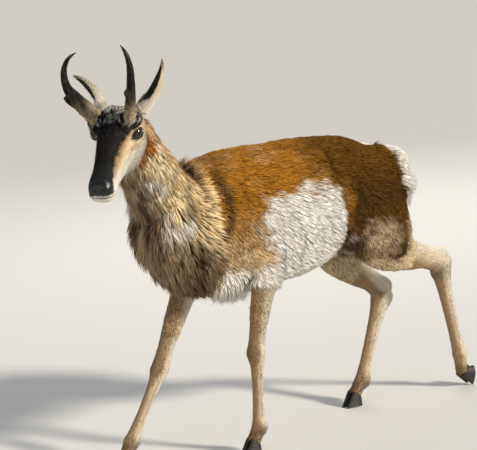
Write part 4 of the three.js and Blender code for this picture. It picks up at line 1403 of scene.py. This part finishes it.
def body_coat(piece, rng):
    """The neck's and the trunk's tufts: paler hair is finer, longer and less shaded."""
    thin = quick_share()
    roots, out = scatter(piece, lambda p: body_fields(p)["density"] * thin, rng)
    coat = body_fields(roots)
    colour = body_colour(roots, coat)
    # Each tuft darker at its root as painted shade, less so where the hair is pale, and lighter at
    # its tip.
    pale = smooth(0.35, 0.75, colour[:, 2])
    dark = coat["dark"] + (0.66 - coat["dark"]) * 0.8 * pale
    coat["low"] = colour * dark[:, None]
    coat["high"] = colour * (1.12 + 0.16 * coat["neck"])[:, None]
    coat["width"] = coat["width"] * (1 - 0.22 * pale)
    coat["length"] = coat["length"] * (1 + 0.2 * pale)
    coat["uv"] = body_uv(roots, coat["neck"])
    neck = coat["neck"] > 0.5
    pieces = []
    for label, own, axis in (("coat_neck", neck, 2), ("coat_trunk", ~neck, 0)):
        order = roots[own][:, axis]
        own_coat = chosen(coat, own)
        pieces += grow_pieces(label, roots[own], out[own], own_coat, order, rng, BLADE)
    return pieces


def per_tuft(count, **fields):
    """The fields of a coat with a row for each tuft, also where one value does for all."""
    return {k: np.full(count, float(v)) if np.isscalar(v) else v for k, v in fields.items()}


def quick_share():
    """The share of the tufts that are kept: all of them."""
    return 1.0


def bones():
    """Every lower limb bone: the limb's number, and the bone's start and end."""
    table = []
    for number, leg in enumerate(LEGS.values()):
        for place, joints, limb in (
            ("fore", ("elbow", "knee", "fore_fetlock"), number),
            ("hind", ("stifle", "hock", "hind_fetlock"), number + 2),
        ):
            hoof, _ = coronet(*foot_frame(leg[f"{place}_sole"], leg[f"{place}_tilt"]))
            chain = [np.array(leg[joint], float) for joint in joints] + [hoof]
            table += [(limb, a, b) for a, b in zip(chain, chain[1:])]
    return table


def limb_fields(points):
    """The coat by the nearest bone, for every point of the lower limbs, and its limb."""
    best = np.full(len(points), FAR)
    flow, colour = np.zeros_like(points), np.zeros_like(points)
    number, angle = np.zeros(len(points)), np.zeros(len(points))
    for limb, a, b in bones():
        t, off = along_segment(points, a, b)
        near = off < best
        best = np.where(near, off, best)
        flow[near] = unit(b - a)
        number[near] = limb
        across = points - (a + t[:, None] * (b - a))
        angle[near] = np.arctan2(across[near, 1], across[near, 0])
        if near.any():
            colour[near] = limb_colour(points[near], a, b, t[near])
    z = points[:, 2]
    top = smooth(300, 420, z)
    fetlock = smooth(110, 84, z) * smooth(40, 60, z) * (flow[:, 0] < 0)
    return per_tuft(
        len(points),
        flow=flow,
        length=8.5 + 4 * top + 7 * fetlock,
        width=1.9 + 0.9 * top,
        lift=0.17,
        clump=9,
        pull=0.15,
        stray=0.09,
        # Darker at the root as painted shade, lighter at the tip.
        low=colour * 0.84,
        high=colour * 1.06,
        uv=tile_uv(z / 620, angle, number, 4),
    ), number


def limb_coat(piece, rng):
    """Short flat hair on the lower legs."""
    thin = quick_share()
    roots, out = scatter(piece, lambda p: np.full(len(p), LEG_DENSITY * thin), rng)
    coat, number = limb_fields(roots)
    return grow_pieces("coat_legs", roots, out, coat, number, rng, SPIKE)


def head_fields(points):
    """The coat of the head: hair runs back from the nose and away from the eyes."""
    u, v, w = head_place(points)
    flow = np.tile(-TO_NOSE, (len(points), 1))
    flow = flow - TO_CROWN * (0.75 * smooth(10, -50, w) * smooth(180, 90, u))[:, None]
    flow = flow + TO_LEFT * (np.sign(v) * 0.35 * smooth(20, 50, w))[:, None]
    around = np.stack([u - EYE[0], w - EYE[2]], 1)
    ring = np.exp(-(around**2).sum(1) / 34**2) * (np.abs(v) > 30)
    spread = unit(around)
    sway = TO_NOSE * spread[:, :1] + TO_CROWN * spread[:, 1:]
    flow = flow + (sway * 0.9 - flow * 0.3) * ring[:, None]
    face = smooth(40, 150, u)
    muzzle = smooth(200, 260, u)
    jaw = smooth(-70, -110, w) * smooth(150, 110, u)
    poll = smooth(60, 20, u) * smooth(10, 40, w)
    length = 12 - 5 * face - 2.6 * muzzle + 6 * jaw + 8 * poll
    length = length * (1 - 0.45 * ring)
    colour = head_colour(points)
    return per_tuft(
        len(points),
        flow=flow,
        length=length,
        width=2.1 - 0.5 * face - 0.2 * muzzle,
        lift=0.16 + 0.08 * jaw + 0.12 * poll,
        clump=7,
        pull=0.2,
        stray=0.10,
        # Darker at the root as painted shade, lighter at the tip.
        low=colour * 0.6,
        high=colour * 1.08,
        uv=tile_uv((u + 40) / 340, np.arctan2(w + 40, v), 0, 2),
    )


def bare(points):
    """1 where no hair grows: the nose pad, the lips' line, the lids and the eyes."""
    u, _, w = head_place(points)
    nose = smooth(268, 274, u) * smooth(-76, -72, w)
    mouth = (np.abs(w - mouth_level(u)) < 2.4) * (u > 204)
    eyes = round_eyes(points, 8, 4, lambda gap: gap < 3.2)
    return np.maximum(np.maximum(nose, mouth), eyes)


def head_density(points):
    """Tufts to the square millimetre, closer on the muzzle and none where it is bare."""
    u, _, _ = head_place(points)
    return (0.24 + 0.12 * smooth(60, 200, u)) * (1 - bare(points)) * quick_share()


def ear_fields(points, out, word, number):
    """The coat of an ear: short in its hollow, longer at its edges and its base."""
    root, end, along, facing, side = ear_frame(word)
    length = np.linalg.norm(end - root)
    offset = points - root
    share = (offset @ along) / length
    angle = np.arctan2(offset @ facing, offset @ side)
    axis = root + (share * length)[:, None] * along
    inside = ((points - axis) * out).sum(1) < 0
    inside = inside * smooth(0.02, 0.16, share)
    edge = smooth(0.0, 0.5, np.sin(angle)) * smooth(0.1, 0.3, share)
    colour = ear_colour(points, share, inside)
    colour = dyed(colour, "white", 0.75 * edge * smooth(0.85, 0.6, share))
    return per_tuft(
        len(points),
        flow=np.tile(along + 0.2 * facing, (len(points), 1)),
        length=7 + 9 * edge * smooth(0.9, 0.6, share) + 8 * smooth(0.2, 0.0, share),
        width=1.9,
        lift=0.18 + 0.14 * edge,
        clump=8,
        pull=0.2,
        stray=0.10,
        # Darker at the root as painted shade, lighter at the tip.
        low=colour * 0.6,
        high=colour * 1.1,
        uv=tile_uv(share * 0.45 + 0.5 * inside, angle, 2 + number, 4),
    )


def head_coat(head, ears, rng):
    """The hair of head and ears together, shared out to pieces by its height."""
    roots, out = scatter(head, head_density, rng)
    parts = [(roots, out, head_fields(roots))]
    for number, (word, ear) in enumerate(ears.items()):
        roots, out = scatter(ear, lambda p: np.full(len(p), EAR_DENSITY * quick_share()), rng)
        parts.append((roots, out, ear_fields(roots, out, word, number)))
    roots = np.concatenate([p[0] for p in parts])
    out = np.concatenate([p[1] for p in parts])
    coat = {k: np.concatenate([p[2][k] for p in parts]) for k in parts[0][2]}
    return grow_pieces("coat_head", roots, out, coat, roots[:, 2], rng, SPIKE)


# Where the lashes of an eye begin and end along the lid, and how many; root and tip tone.
LASH_ROW = (-12, 14, 44)
LASH_TONES = (0.008, 0.012)


def lashes(rng):
    """Long dark lashes on the upper lids."""
    roots, flows = [], []
    for side in SIDES.values():
        lids, up, out = eye_axes(side)
        for p in np.linspace(*LASH_ROW):
            q = float(lid_height(p)[0])
            n = math.sqrt(EYE_RADIUS**2 - min(p * p + q * q, 300))
            spot = p * lids + (q + 0.8) * up + n * out
            roots.append(eye_centre(side) + unit(spot) * (EYE_RADIUS + 1.6))
            flows.append(out * 0.9 - up * 0.35 + lids * p * 0.03)
    roots, flows = np.array(roots), unit(np.array(flows))
    count = len(roots)
    across = unit(np.cross(flows, TO_CROWN))
    coat = per_tuft(
        count,
        flow=flows,
        length=8,
        width=0.9,
        lift=0.2,
        clump=5,
        pull=0.1,
        stray=0.05,
        low=np.full((count, 3), LASH_TONES[0]),
        high=np.full((count, 3), LASH_TONES[1]),
        uv=tile_uv(np.linspace(0.02, 0.98, count), np.full(count, 0.1), 0, 1),
    )
    return grow("coat_lashes", roots, np.cross(across, flows), coat, rng, BLADE)


# Horns, eyes and hooves

HORN_TONES = {
    "dark": (0.003, 0.0025, 0.002),
    "base": (0.34, 0.27, 0.17),
    "hoof": (0.014, 0.012, 0.010),
}
WORN_HORN = np.array([0.30, 0.24, 0.16])
HOOF_DUST = [0.16, 0.13, 0.10]
EYE_TONES = {
    "ball": [0.011, 0.008, 0.007],
    "iris": [0.040, 0.019, 0.009],
    "pupil": [0.003, 0.003, 0.004],
}
# Half lengths and half heights on the eye; the cornea also has its rise.
CORNEA, CORNEA_RISE = (11, 8.5), 0.9
PUPIL = (7.5, 3.6)
IRIS = (13.5, 9.5)


def build_horn(word):
    """One horn with its prong: rough and pale at the base, black and smooth above."""
    side, height = SIDES[word], HORN_HEIGHT[word]

    def place(u, v, w):
        return head_point(u, -side * v, w * height)

    bm = bmesh.new()
    add_tube(bm, spine_rings(HORN, place, TO_LEFT, 40, 8))
    add_tube(bm, spine_rings(PRONG, place, TO_LEFT, 32, 8))
    piece = piece_from(f"horn_{word}_sheath", bm)
    remesh(piece, HORN_VOXEL, 3)
    points, normals = points_of(piece), normals_of(piece)
    low = place(*HORN[0][0])
    rise = (points - low) @ TO_CROWN
    base = smooth(110, 20, rise)
    stretched = points - 0.72 * np.outer(rise, TO_CROWN)
    fibre = value_noise(stretched, 4.2, 41) - 0.5
    lumps = value_noise(points, 8, 42) - 0.5
    warts = smooth(0.62, 0.8, value_noise(points, 6.5, 43)) * base
    push = -0.7 + fibre * (0.9 + 1.2 * base) + lumps * (0.5 + 1.6 * base) + 1.5 * warts
    place_points(piece, points + normals * push[:, None])
    grey = np.clip(base * (0.35 + 0.9 * value_noise(points, 5, 44)) + 0.12 * (fibre + 0.1), 0, 1)
    dark, pale = horn_tone("dark"), horn_tone("base")
    tones = dark + (pale - dark) * grey[:, None]
    tip = smooth(205, 245, rise)
    tones = tones + (WORN_HORN - tones) * (0.35 * tip * (fibre + 0.5))[:, None]
    paint(piece.data, tones, wet=smooth(60, 170, rise))
    return piece


def horn_tone(name):
    look = getattr(bpy.context.scene, "pronghorn_horns", None)
    return np.array(getattr(look, name) if look else HORN_TONES[name], float)


def build_eye(word):
    """One eyeball with its cornea's bulge, iris and level pupil."""
    side = SIDES[word]
    centre = eye_centre(side)
    bm = bmesh.new()
    add_ball(bm, centre, [EYE_RADIUS - 0.4] * 3, level=5)
    piece = piece_from(f"eye_{word}_ball", bm)
    shade_smooth(piece)
    points = points_of(piece)
    away, p, q, n, _ = past_lids(points, side)

    def oval(size):
        return (p / size[0]) ** 2 + (q / size[1]) ** 2

    bulge = np.exp(-oval(CORNEA)) * (n > 0)
    place_points(piece, points + unit(away) * (CORNEA_RISE * bulge)[:, None])
    tones = np.tile(EYE_TONES["ball"], (len(points), 1))
    tones = mixed(tones, EYE_TONES["iris"], smooth(1.1, 0.8, oval(IRIS)))
    tones = mixed(tones, EYE_TONES["pupil"], smooth(1.15, 0.85, oval(PUPIL)))
    paint(piece.data, tones)
    return piece


def toe_rings(turn, place, side):
    """One toe of a cloven hoof, from the coronet to the ground."""
    top, along = coronet(turn, place, 0.4)
    back = facing_aft(unit(np.cross(Y, along)))
    middle = side * HOOF["half"]
    angle = 2 * np.pi * np.arange(HOOF_CORNERS) / HOOF_CORNERS
    c, s = np.cos(angle), np.sin(angle)
    crown = top - (c * HOOF["crown_deep"])[:, None] * back
    crown = crown + (middle + s * HOOF["crown_half"])[:, None] * Y
    reach = np.where(c > 0, HOOF["toe"], HOOF["heel"])
    narrow = np.where(c > 0, 1 - 0.42 * c * c, 1.0)
    flat = np.stack([-c * reach, middle + s * HOOF["half"] * narrow, 0 * c], 1)
    ground = place + flat @ turn.T
    rings = []
    for share, swell in through(TOE_SWELL, 4):
        points = crown + (ground - crown) * share
        ripple = 0.35 * math.sin(share * 34)
        outward = side * (points[:, 1] - place[1])
        spread = HOOF["half"] + (outward - HOOF["half"]) * swell + ripple
        points[:, 1] = place[1] + side * np.maximum(spread, CLEFT)
        points[:, 2] = np.maximum(points[:, 2], SOLE_LIFT)
        rings.append(points)
    return rings


def build_hoof(word, place_word):
    """One foot's two toes, streaked down the horn and dusty at the ground."""
    leg = LEGS[word]
    turn, place = foot_frame(leg[f"{place_word}_sole"], leg[f"{place_word}_tilt"])
    bm = bmesh.new()
    for side in (-1, 1):
        add_tube(bm, toe_rings(turn, place, side))
    piece = piece_from(f"hooves_{place_word}_{word}", bm)
    shade_smooth(piece)
    points = points_of(piece)
    streak = value_noise(points * [1, 1, 0.3], 3.5, 51)
    dust = smooth(0.4, 0.9, value_noise(points, 7, 52))
    tones = np.tile(horn_tone("hoof"), (len(points), 1)) * (0.6 + 0.8 * streak)[:, None]
    tones = mixed(tones, HOOF_DUST, 0.45 * dust * smooth(22, 2, points[:, 2]))
    paint(piece.data, tones, wet=0.5 * np.ones(len(points)))
    return piece


# Materials

GRAIN = "Painted grain"
GRAIN_INPUTS = ("Size", "Depth", "Dry", "Polished")
SHINE = "Specular IOR Level"
# Grain size and depth, roughness where dry and where polished; the bump's strength and
# height in metres; and what else the shader has.
SURFACES = {
    "Pronghorn hair": ((900, 0.16, 0.72, 0.45), None, {SHINE: 0.04}),
    "Pronghorn hide": ((520, 0.22, 0.8, 0.32), (0.35, 0.0012), {}),
    "Horn sheath": ((420, 0.3, 0.66, 0.42), (0.5, 0.0012), {SHINE: 0.12}),
    "Hoof horn": ((380, 0.3, 0.6, 0.42), (0.3, 0.0008), {}),
    "Wet eye": (
        (260, 0.25, 0.06, 0.06),
        None,
        {"Coat Weight": 0.3, "Coat Roughness": 0.02, SHINE: 0.3},
    ),
}


def grain_group():
    """Shared fine variation: takes a painted colour, gives colour, roughness, height."""
    group = bpy.data.node_groups.new(GRAIN, "ShaderNodeTree")
    face = group.interface
    for name in GRAIN_INPUTS:
        face.new_socket(name, in_out="INPUT", socket_type="NodeSocketFloat")
    face.new_socket("Color", in_out="OUTPUT", socket_type="NodeSocketColor")
    for name in ("Roughness", "Height"):
        face.new_socket(name, in_out="OUTPUT", socket_type="NodeSocketFloat")
    nodes, links = group.nodes, group.links
    given, made = nodes.new("NodeGroupInput"), nodes.new("NodeGroupOutput")
    painted = nodes.new("ShaderNodeAttribute")
    painted.attribute_name = "Coat"
    wet = nodes.new("ShaderNodeAttribute")
    wet.attribute_name = "Wet"
    place = nodes.new("ShaderNodeTexCoord")
    noise = nodes.new("ShaderNodeTexNoise")
    noise.inputs["Detail"].default_value = 5
    noise.inputs["Roughness"].default_value = 0.65
    links.new(place.outputs["Object"], noise.inputs["Vector"])
    links.new(given.outputs["Size"], noise.inputs["Scale"])
    strength = nodes.new("ShaderNodeMapRange")
    strength.inputs["From Min"].default_value = 0.25
    strength.inputs["From Max"].default_value = 0.75
    links.new(noise.outputs["Fac"], strength.inputs["Value"])
    for end, operation in (("To Min", "SUBTRACT"), ("To Max", "ADD")):
        limit = nodes.new("ShaderNodeMath")
        limit.operation = operation
        limit.inputs[0].default_value = 1.0
        links.new(given.outputs["Depth"], limit.inputs[1])
        links.new(limit.outputs[0], strength.inputs[end])
    scaled = nodes.new("ShaderNodeVectorMath")
    scaled.operation = "SCALE"
    links.new(painted.outputs["Color"], scaled.inputs[0])
    links.new(strength.outputs["Result"], scaled.inputs["Scale"])
    links.new(scaled.outputs["Vector"], made.inputs["Color"])
    gloss = nodes.new("ShaderNodeMix")
    links.new(wet.outputs["Fac"], gloss.inputs["Factor"])
    links.new(given.outputs["Dry"], gloss.inputs["A"])
    links.new(given.outputs["Polished"], gloss.inputs["B"])
    links.new(gloss.outputs["Result"], made.inputs["Roughness"])
    links.new(noise.outputs["Fac"], made.inputs["Height"])
    return group


def make_material(name):
    """A painted surface with its grain, gloss and bump, from the shared group."""
    grain_values, bump, finish = SURFACES[name]
    group = bpy.data.node_groups.get(GRAIN) or grain_group()
    material = bpy.data.materials.new(name)
    material.use_nodes = True
    nodes, links = material.node_tree.nodes, material.node_tree.links
    shader = nodes["Principled BSDF"]
    grain = nodes.new("ShaderNodeGroup")
    grain.node_tree = group
    for key, value in zip(GRAIN_INPUTS, grain_values):
        grain.inputs[key].default_value = value
    links.new(grain.outputs["Color"], shader.inputs["Base Color"])
    links.new(grain.outputs["Roughness"], shader.inputs["Roughness"])
    if bump:
        relief = nodes.new("ShaderNodeBump")
        relief.inputs["Strength"].default_value, relief.inputs["Distance"].default_value = bump
        links.new(grain.outputs["Height"], relief.inputs["Height"])
        links.new(relief.outputs["Normal"], shader.inputs["Normal"])
    for key, value in finish.items():
        shader.inputs[key].default_value = value
    return material


def cover(piece, surface):
    """Gives a piece its material, which is made the first time it is asked for."""
    material = bpy.data.materials.get(surface) or make_material(surface)
    piece.data.materials.clear()
    piece.data.materials.append(material)


# Operators

LIMB_PIECES = ("foreleg_upper", "foreleg_lower", "thigh", "shank", "hindleg_lower")
FLESH = ["torso", "neck", "head", "tail", "ear_left", "ear_right"]
FLESH += [f"{limb}_{word}" for word in SIDES for limb in LIMB_PIECES]
# How dark the skin is under its hair, as painted shade, and the bare rims of the lids.
SKIN_SHADE = {"body": 0.55, "limbs": 0.8, "head": 0.85, "ear": 0.75}
LID_TONE = 0.008


def colour_property(name, description, default):
    return bpy.props.FloatVectorProperty(
        name=name, description=description, default=default, subtype="COLOR", min=0, max=1
    )


def detail_property(name, description, default, least):
    return bpy.props.FloatProperty(
        name=name, description=description, default=default, min=least, max=0.02, unit="LENGTH"
    )


class PronghornCoat(bpy.types.PropertyGroup):
    ochre: colour_property("Back", "Ochre of the back and shoulders", PALETTE["ochre"])
    saddle: colour_property("Saddle", "Browner hair along the spine", PALETTE["saddle"])
    # Haunch: a dark brown that is mostly painted shade.
    haunch_brown_and_shade: colour_property("Haunch", "Dark brown of the haunch", PALETTE["haunch_brown_and_shade"])
    white: colour_property("White", "White of side, belly, rump and cheeks", PALETTE["white"])
    cream: colour_property("Cream", "Cream of the neck and shoulder", PALETTE["cream"])
    ruff: colour_property("Ruff", "Tan of the long neck hair", PALETTE["ruff"])
    # Ruff shade: painted shade between the locks and under the neck, and dark brown hair.
    ruff_shade_and_brown: colour_property("Ruff shade", "Brown between the locks", PALETTE["ruff_shade_and_brown"])
    mane: colour_property("Mane", "Dark hair along the nape and withers", PALETTE["mane"])
    # Mane: also the tone of a painted shadow in the stifle's fold.
    rust: colour_property("Stripe", "Rust stripe behind the cheek", PALETTE["rust"])
    # Mask: made nearly black as painted shade.
    mask: colour_property("Mask", "Dark mask of the face", PALETTE["mask"])
    nose: colour_property("Nose", "Bare nose, lips and lid rims", PALETTE["nose"])
    ear: colour_property("Ears", "Pale backs of the ears", PALETTE["ear"])
    limb: colour_property("Legs", "Cream of the legs", PALETTE["limb"])
    limb_front: colour_property("Leg fronts", "Tan of the leg fronts", PALETTE["limb_front"])
    body_voxel: detail_property("Body skin", "Detail size of the body's skin", 0.0070, 0.004)
    limb_voxel: detail_property("Leg skin", "Detail size of the legs' skin", 0.0044, 0.002)
    head_voxel: detail_property("Head skin", "Detail size of the head's skin", 0.0024, 0.0015)
    seed: bpy.props.IntProperty(
        name="Seed", description="Seed of the coat's scatter", default=7, min=0
    )


class PronghornHorns(bpy.types.PropertyGroup):
    dark: colour_property("Horn", "Black of the horn sheaths", HORN_TONES["dark"])
    base: colour_property("Horn base", "Grey-brown of the rough bases", HORN_TONES["base"])
    hoof: colour_property("Hoof", "Dark horn of the hooves", HORN_TONES["hoof"])


def angle_property(name, description, degrees):
    return bpy.props.FloatProperty(
        name=name, description=description, default=math.radians(degrees), subtype="ANGLE"
    )


class PronghornStudio(bpy.types.PropertyGroup):
    azimuth: angle_property("Azimuth", "Camera's turn round the animal", -37.133)
    elevation: angle_property("Elevation", "Camera's height over the horizon", 9.922)
    roll: angle_property("Roll", "Camera's roll", -5.4135)
    distance: bpy.props.FloatProperty(
        name="Distance", description="Camera's distance", default=6.6163, unit="LENGTH"
    )
    lens: bpy.props.FloatProperty(
        name="Lens", description="Focal length in millimetres", default=170.888, min=1
    )


class PRONGHORN_OT_skin(bpy.types.Operator):
    """Build the skin with its markings, and the coat of tufts over it"""

    bl_idname = "pronghorn.skin"
    bl_label = "Skin and coat"

    def execute(self, context):
        look = context.scene.pronghorn_coat
        rng = np.random.default_rng(look.seed)
        body = body_skin(look.body_voxel / MM)
        limbs = limb_skin(look.limb_voxel / MM)
        head, lids = head_skin(look.head_voxel / MM)
        ears = {word: ear_skin(word) for word in SIDES}
        coats = body_coat(body, rng) + limb_coat(limbs, rng)
        coats += head_coat(head, ears, rng)
        coats.append(lashes(rng))
        self.colour(body, limbs, head, lids, ears)
        skin = join("skin", [body, limbs, head, lids, *ears.values()])
        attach(skin, "root")
        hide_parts(*FLESH)
        cover(skin, "Pronghorn hide")
        for coat in coats:
            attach(coat, "root")
            cover(coat, "Pronghorn hair")
        return {"FINISHED"}

    def colour(self, body, limbs, head, lids, ears):
        """Paints the parts of the skin with the markings of the coat over them, darkened as
        painted shade under the hair.
        """
        points = points_of(body)
        tones = body_colour(points, body_fields(points))
        paint(body.data, tones * SKIN_SHADE["body"])
        fields, _ = limb_fields(points_of(limbs))
        paint(limbs.data, fields["high"] * SKIN_SHADE["limbs"])
        points = points_of(head)
        paint(head.data, head_colour(points) * SKIN_SHADE["head"], wet=bare(points))
        count = len(lids.data.vertices)
        paint(lids.data, np.full((count, 3), LID_TONE), wet=np.ones(count))
        for number, (word, ear) in enumerate(ears.items()):
            fields = ear_fields(points_of(ear), normals_of(ear), word, number)
            paint(ear.data, fields["high"] * SKIN_SHADE["ear"])


class PRONGHORN_OT_horns(bpy.types.Operator):
    """Build both horns with their prongs and rough bases"""

    bl_idname = "pronghorn.horns"
    bl_label = "Horns"

    def execute(self, context):
        for word in SIDES:
            horn = build_horn(word)
            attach(horn, "root")
            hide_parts(f"horn_{word}")
            cover(horn, "Horn sheath")
        return {"FINISHED"}


class PRONGHORN_OT_eyes(bpy.types.Operator):
    """Build both eyes"""

    bl_idname = "pronghorn.eyes"
    bl_label = "Eyes"

    def execute(self, context):
        for word in SIDES:
            eye = build_eye(word)
            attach(eye, "root")
            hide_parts(f"eye_{word}")
            cover(eye, "Wet eye")
        return {"FINISHED"}


class PRONGHORN_OT_hooves(bpy.types.Operator):
    """Build the cloven hooves of all four feet"""

    bl_idname = "pronghorn.hooves"
    bl_label = "Hooves"

    def execute(self, context):
        for word in SIDES:
            for place in ("fore", "hind"):
                hoof = build_hoof(word, place)
                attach(hoof, "root")
                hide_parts(*(f"hoof_{place}_{word}_{s}" for s in ("outer", "inner")))
                cover(hoof, "Hoof horn")
        return {"FINISHED"}


# What the camera looks at, in metres and the animal's own coordinates.
AIM = (0.08132, 0.0, 0.65219)
# The middle of the animal, where the lights point, and the floor's radius, in metres.
MIDDLE = (0, 0, 0.6)
FLOOR_RADIUS = 60
SENSOR_WIDTH = 36
PAPER_TONE = (0.70, 0.69, 0.66, 1)
SKY_TONE = (0.86, 0.91, 1.0, 1)
SKY_STRENGTH = 0.34
# Lights: kind, strength, colour, place, and the sun's angle or the lamp's size.
LIGHTS = {
    "key": ("SUN", 4.3, (1.0, 0.92, 0.80), (1.5, -3.8, 2.7), {"angle": 0.14}),
    "fill": ("AREA", 30, (0.9, 0.95, 1.0), (-4, -1.5, 1.6), {"size": 2.5}),
    "rim": ("AREA", 60, (1.0, 0.97, 0.92), (3, 3, 3), {"size": 2.5}),
}


class PRONGHORN_OT_studio(bpy.types.Operator):
    """Lay the pale floor, set the soft lights and place the camera"""

    bl_idname = "pronghorn.studio"
    bl_label = "Studio"

    def execute(self, context):
        look = context.scene.pronghorn_studio
        scene = context.scene
        floor_and_light(scene)
        camera = bpy.data.cameras.new("photo_camera")
        holder = in_scene("photo_camera", camera)
        az, el = look.azimuth, look.elevation
        level = math.cos(el)
        back = Vector((math.sin(az) * level, -math.cos(az) * level, math.sin(el)))
        aim = Vector(AIM) + Vector(SHIFT * MM)
        right = (-back).cross(Vector((0, 0, 1))).normalized()
        up = right.cross(-back)
        turn = math.cos(look.roll), math.sin(look.roll)
        right, up = right * turn[0] + up * turn[1], up * turn[0] - right * turn[1]
        pose = Matrix((right, up, back)).transposed().to_4x4()
        pose.translation = aim + back * look.distance
        holder.matrix_world = pose
        camera.sensor_width = SENSOR_WIDTH
        camera.sensor_fit = "HORIZONTAL"
        camera.lens = look.lens
        camera.clip_end = 200
        scene.camera = holder
        scene.view_settings.view_transform = "Standard"
        return {"FINISHED"}


def add_light(name, kind, energy, colour, location, size):
    data = bpy.data.lights.new(name, kind)
    data.energy = energy
    data.color = colour
    for key, value in size.items():
        setattr(data, key, value)
    lamp = in_scene(name, data)
    lamp.location = location
    aim = Vector(MIDDLE) - Vector(location)
    lamp.rotation_euler = aim.to_track_quat("-Z", "Y").to_euler()


def floor_and_light(scene):
    """A round sheet of pale paper under a soft sky, and the three lights."""
    bm = bmesh.new()
    bmesh.ops.create_circle(bm, cap_ends=True, segments=96, radius=FLOOR_RADIUS)
    floor = object_from("studio_floor", bm)
    paper = bpy.data.materials.new("Pale paper")
    paper.use_nodes = True
    shader = paper.node_tree.nodes["Principled BSDF"]
    shader.inputs["Base Color"].default_value = PAPER_TONE
    shader.inputs["Roughness"].default_value = 0.9
    floor.data.materials.append(paper)
    world = bpy.data.worlds.new("studio_world")
    world.use_nodes = True
    sky = world.node_tree.nodes["Background"]
    sky.inputs["Color"].default_value = SKY_TONE
    sky.inputs["Strength"].default_value = SKY_STRENGTH
    scene.world = world
    for name, light in LIGHTS.items():
        add_light(name, *light)


class PRONGHORN_PT_panel(bpy.types.Panel):
    bl_idname = "PRONGHORN_PT_panel"
    bl_label = "Pronghorn buck"
    bl_space_type = "VIEW_3D"
    bl_region_type = "UI"
    bl_category = "Pronghorn"

    def draw(self, context):
        layout = self.layout
        for look in GROUPS:
            group = getattr(context.scene, look)
            box = layout.box()
            for key in group.bl_rna.properties.keys():
                if key not in {"rna_type", "name"}:
                    box.prop(group, key)
        for step in STEPS:
            layout.operator(step.bl_idname)


STEPS = (
    PRONGHORN_OT_skin,
    PRONGHORN_OT_horns,
    PRONGHORN_OT_eyes,
    PRONGHORN_OT_hooves,
    PRONGHORN_OT_studio,
)
GROUPS = {
    "pronghorn_coat": PronghornCoat,
    "pronghorn_horns": PronghornHorns,
    "pronghorn_studio": PronghornStudio,
}


def register():
    for name, group in GROUPS.items():
        bpy.utils.register_class(group)
        setattr(bpy.types.Scene, name, bpy.props.PointerProperty(type=group))
    for step in (*STEPS, PRONGHORN_PT_panel):
        bpy.utils.register_class(step)


def unregister():
    for step in reversed((*STEPS, PRONGHORN_PT_panel)):
        bpy.utils.unregister_class(step)
    for name, group in GROUPS.items():
        delattr(bpy.types.Scene, name)
        bpy.utils.unregister_class(group)


def main():
    register()
    bpy.ops.pronghorn.skin()
    bpy.ops.pronghorn.horns()
    bpy.ops.pronghorn.eyes()
    bpy.ops.pronghorn.hooves()
    bpy.ops.pronghorn.studio()


if __name__ == "__main__":
    main()
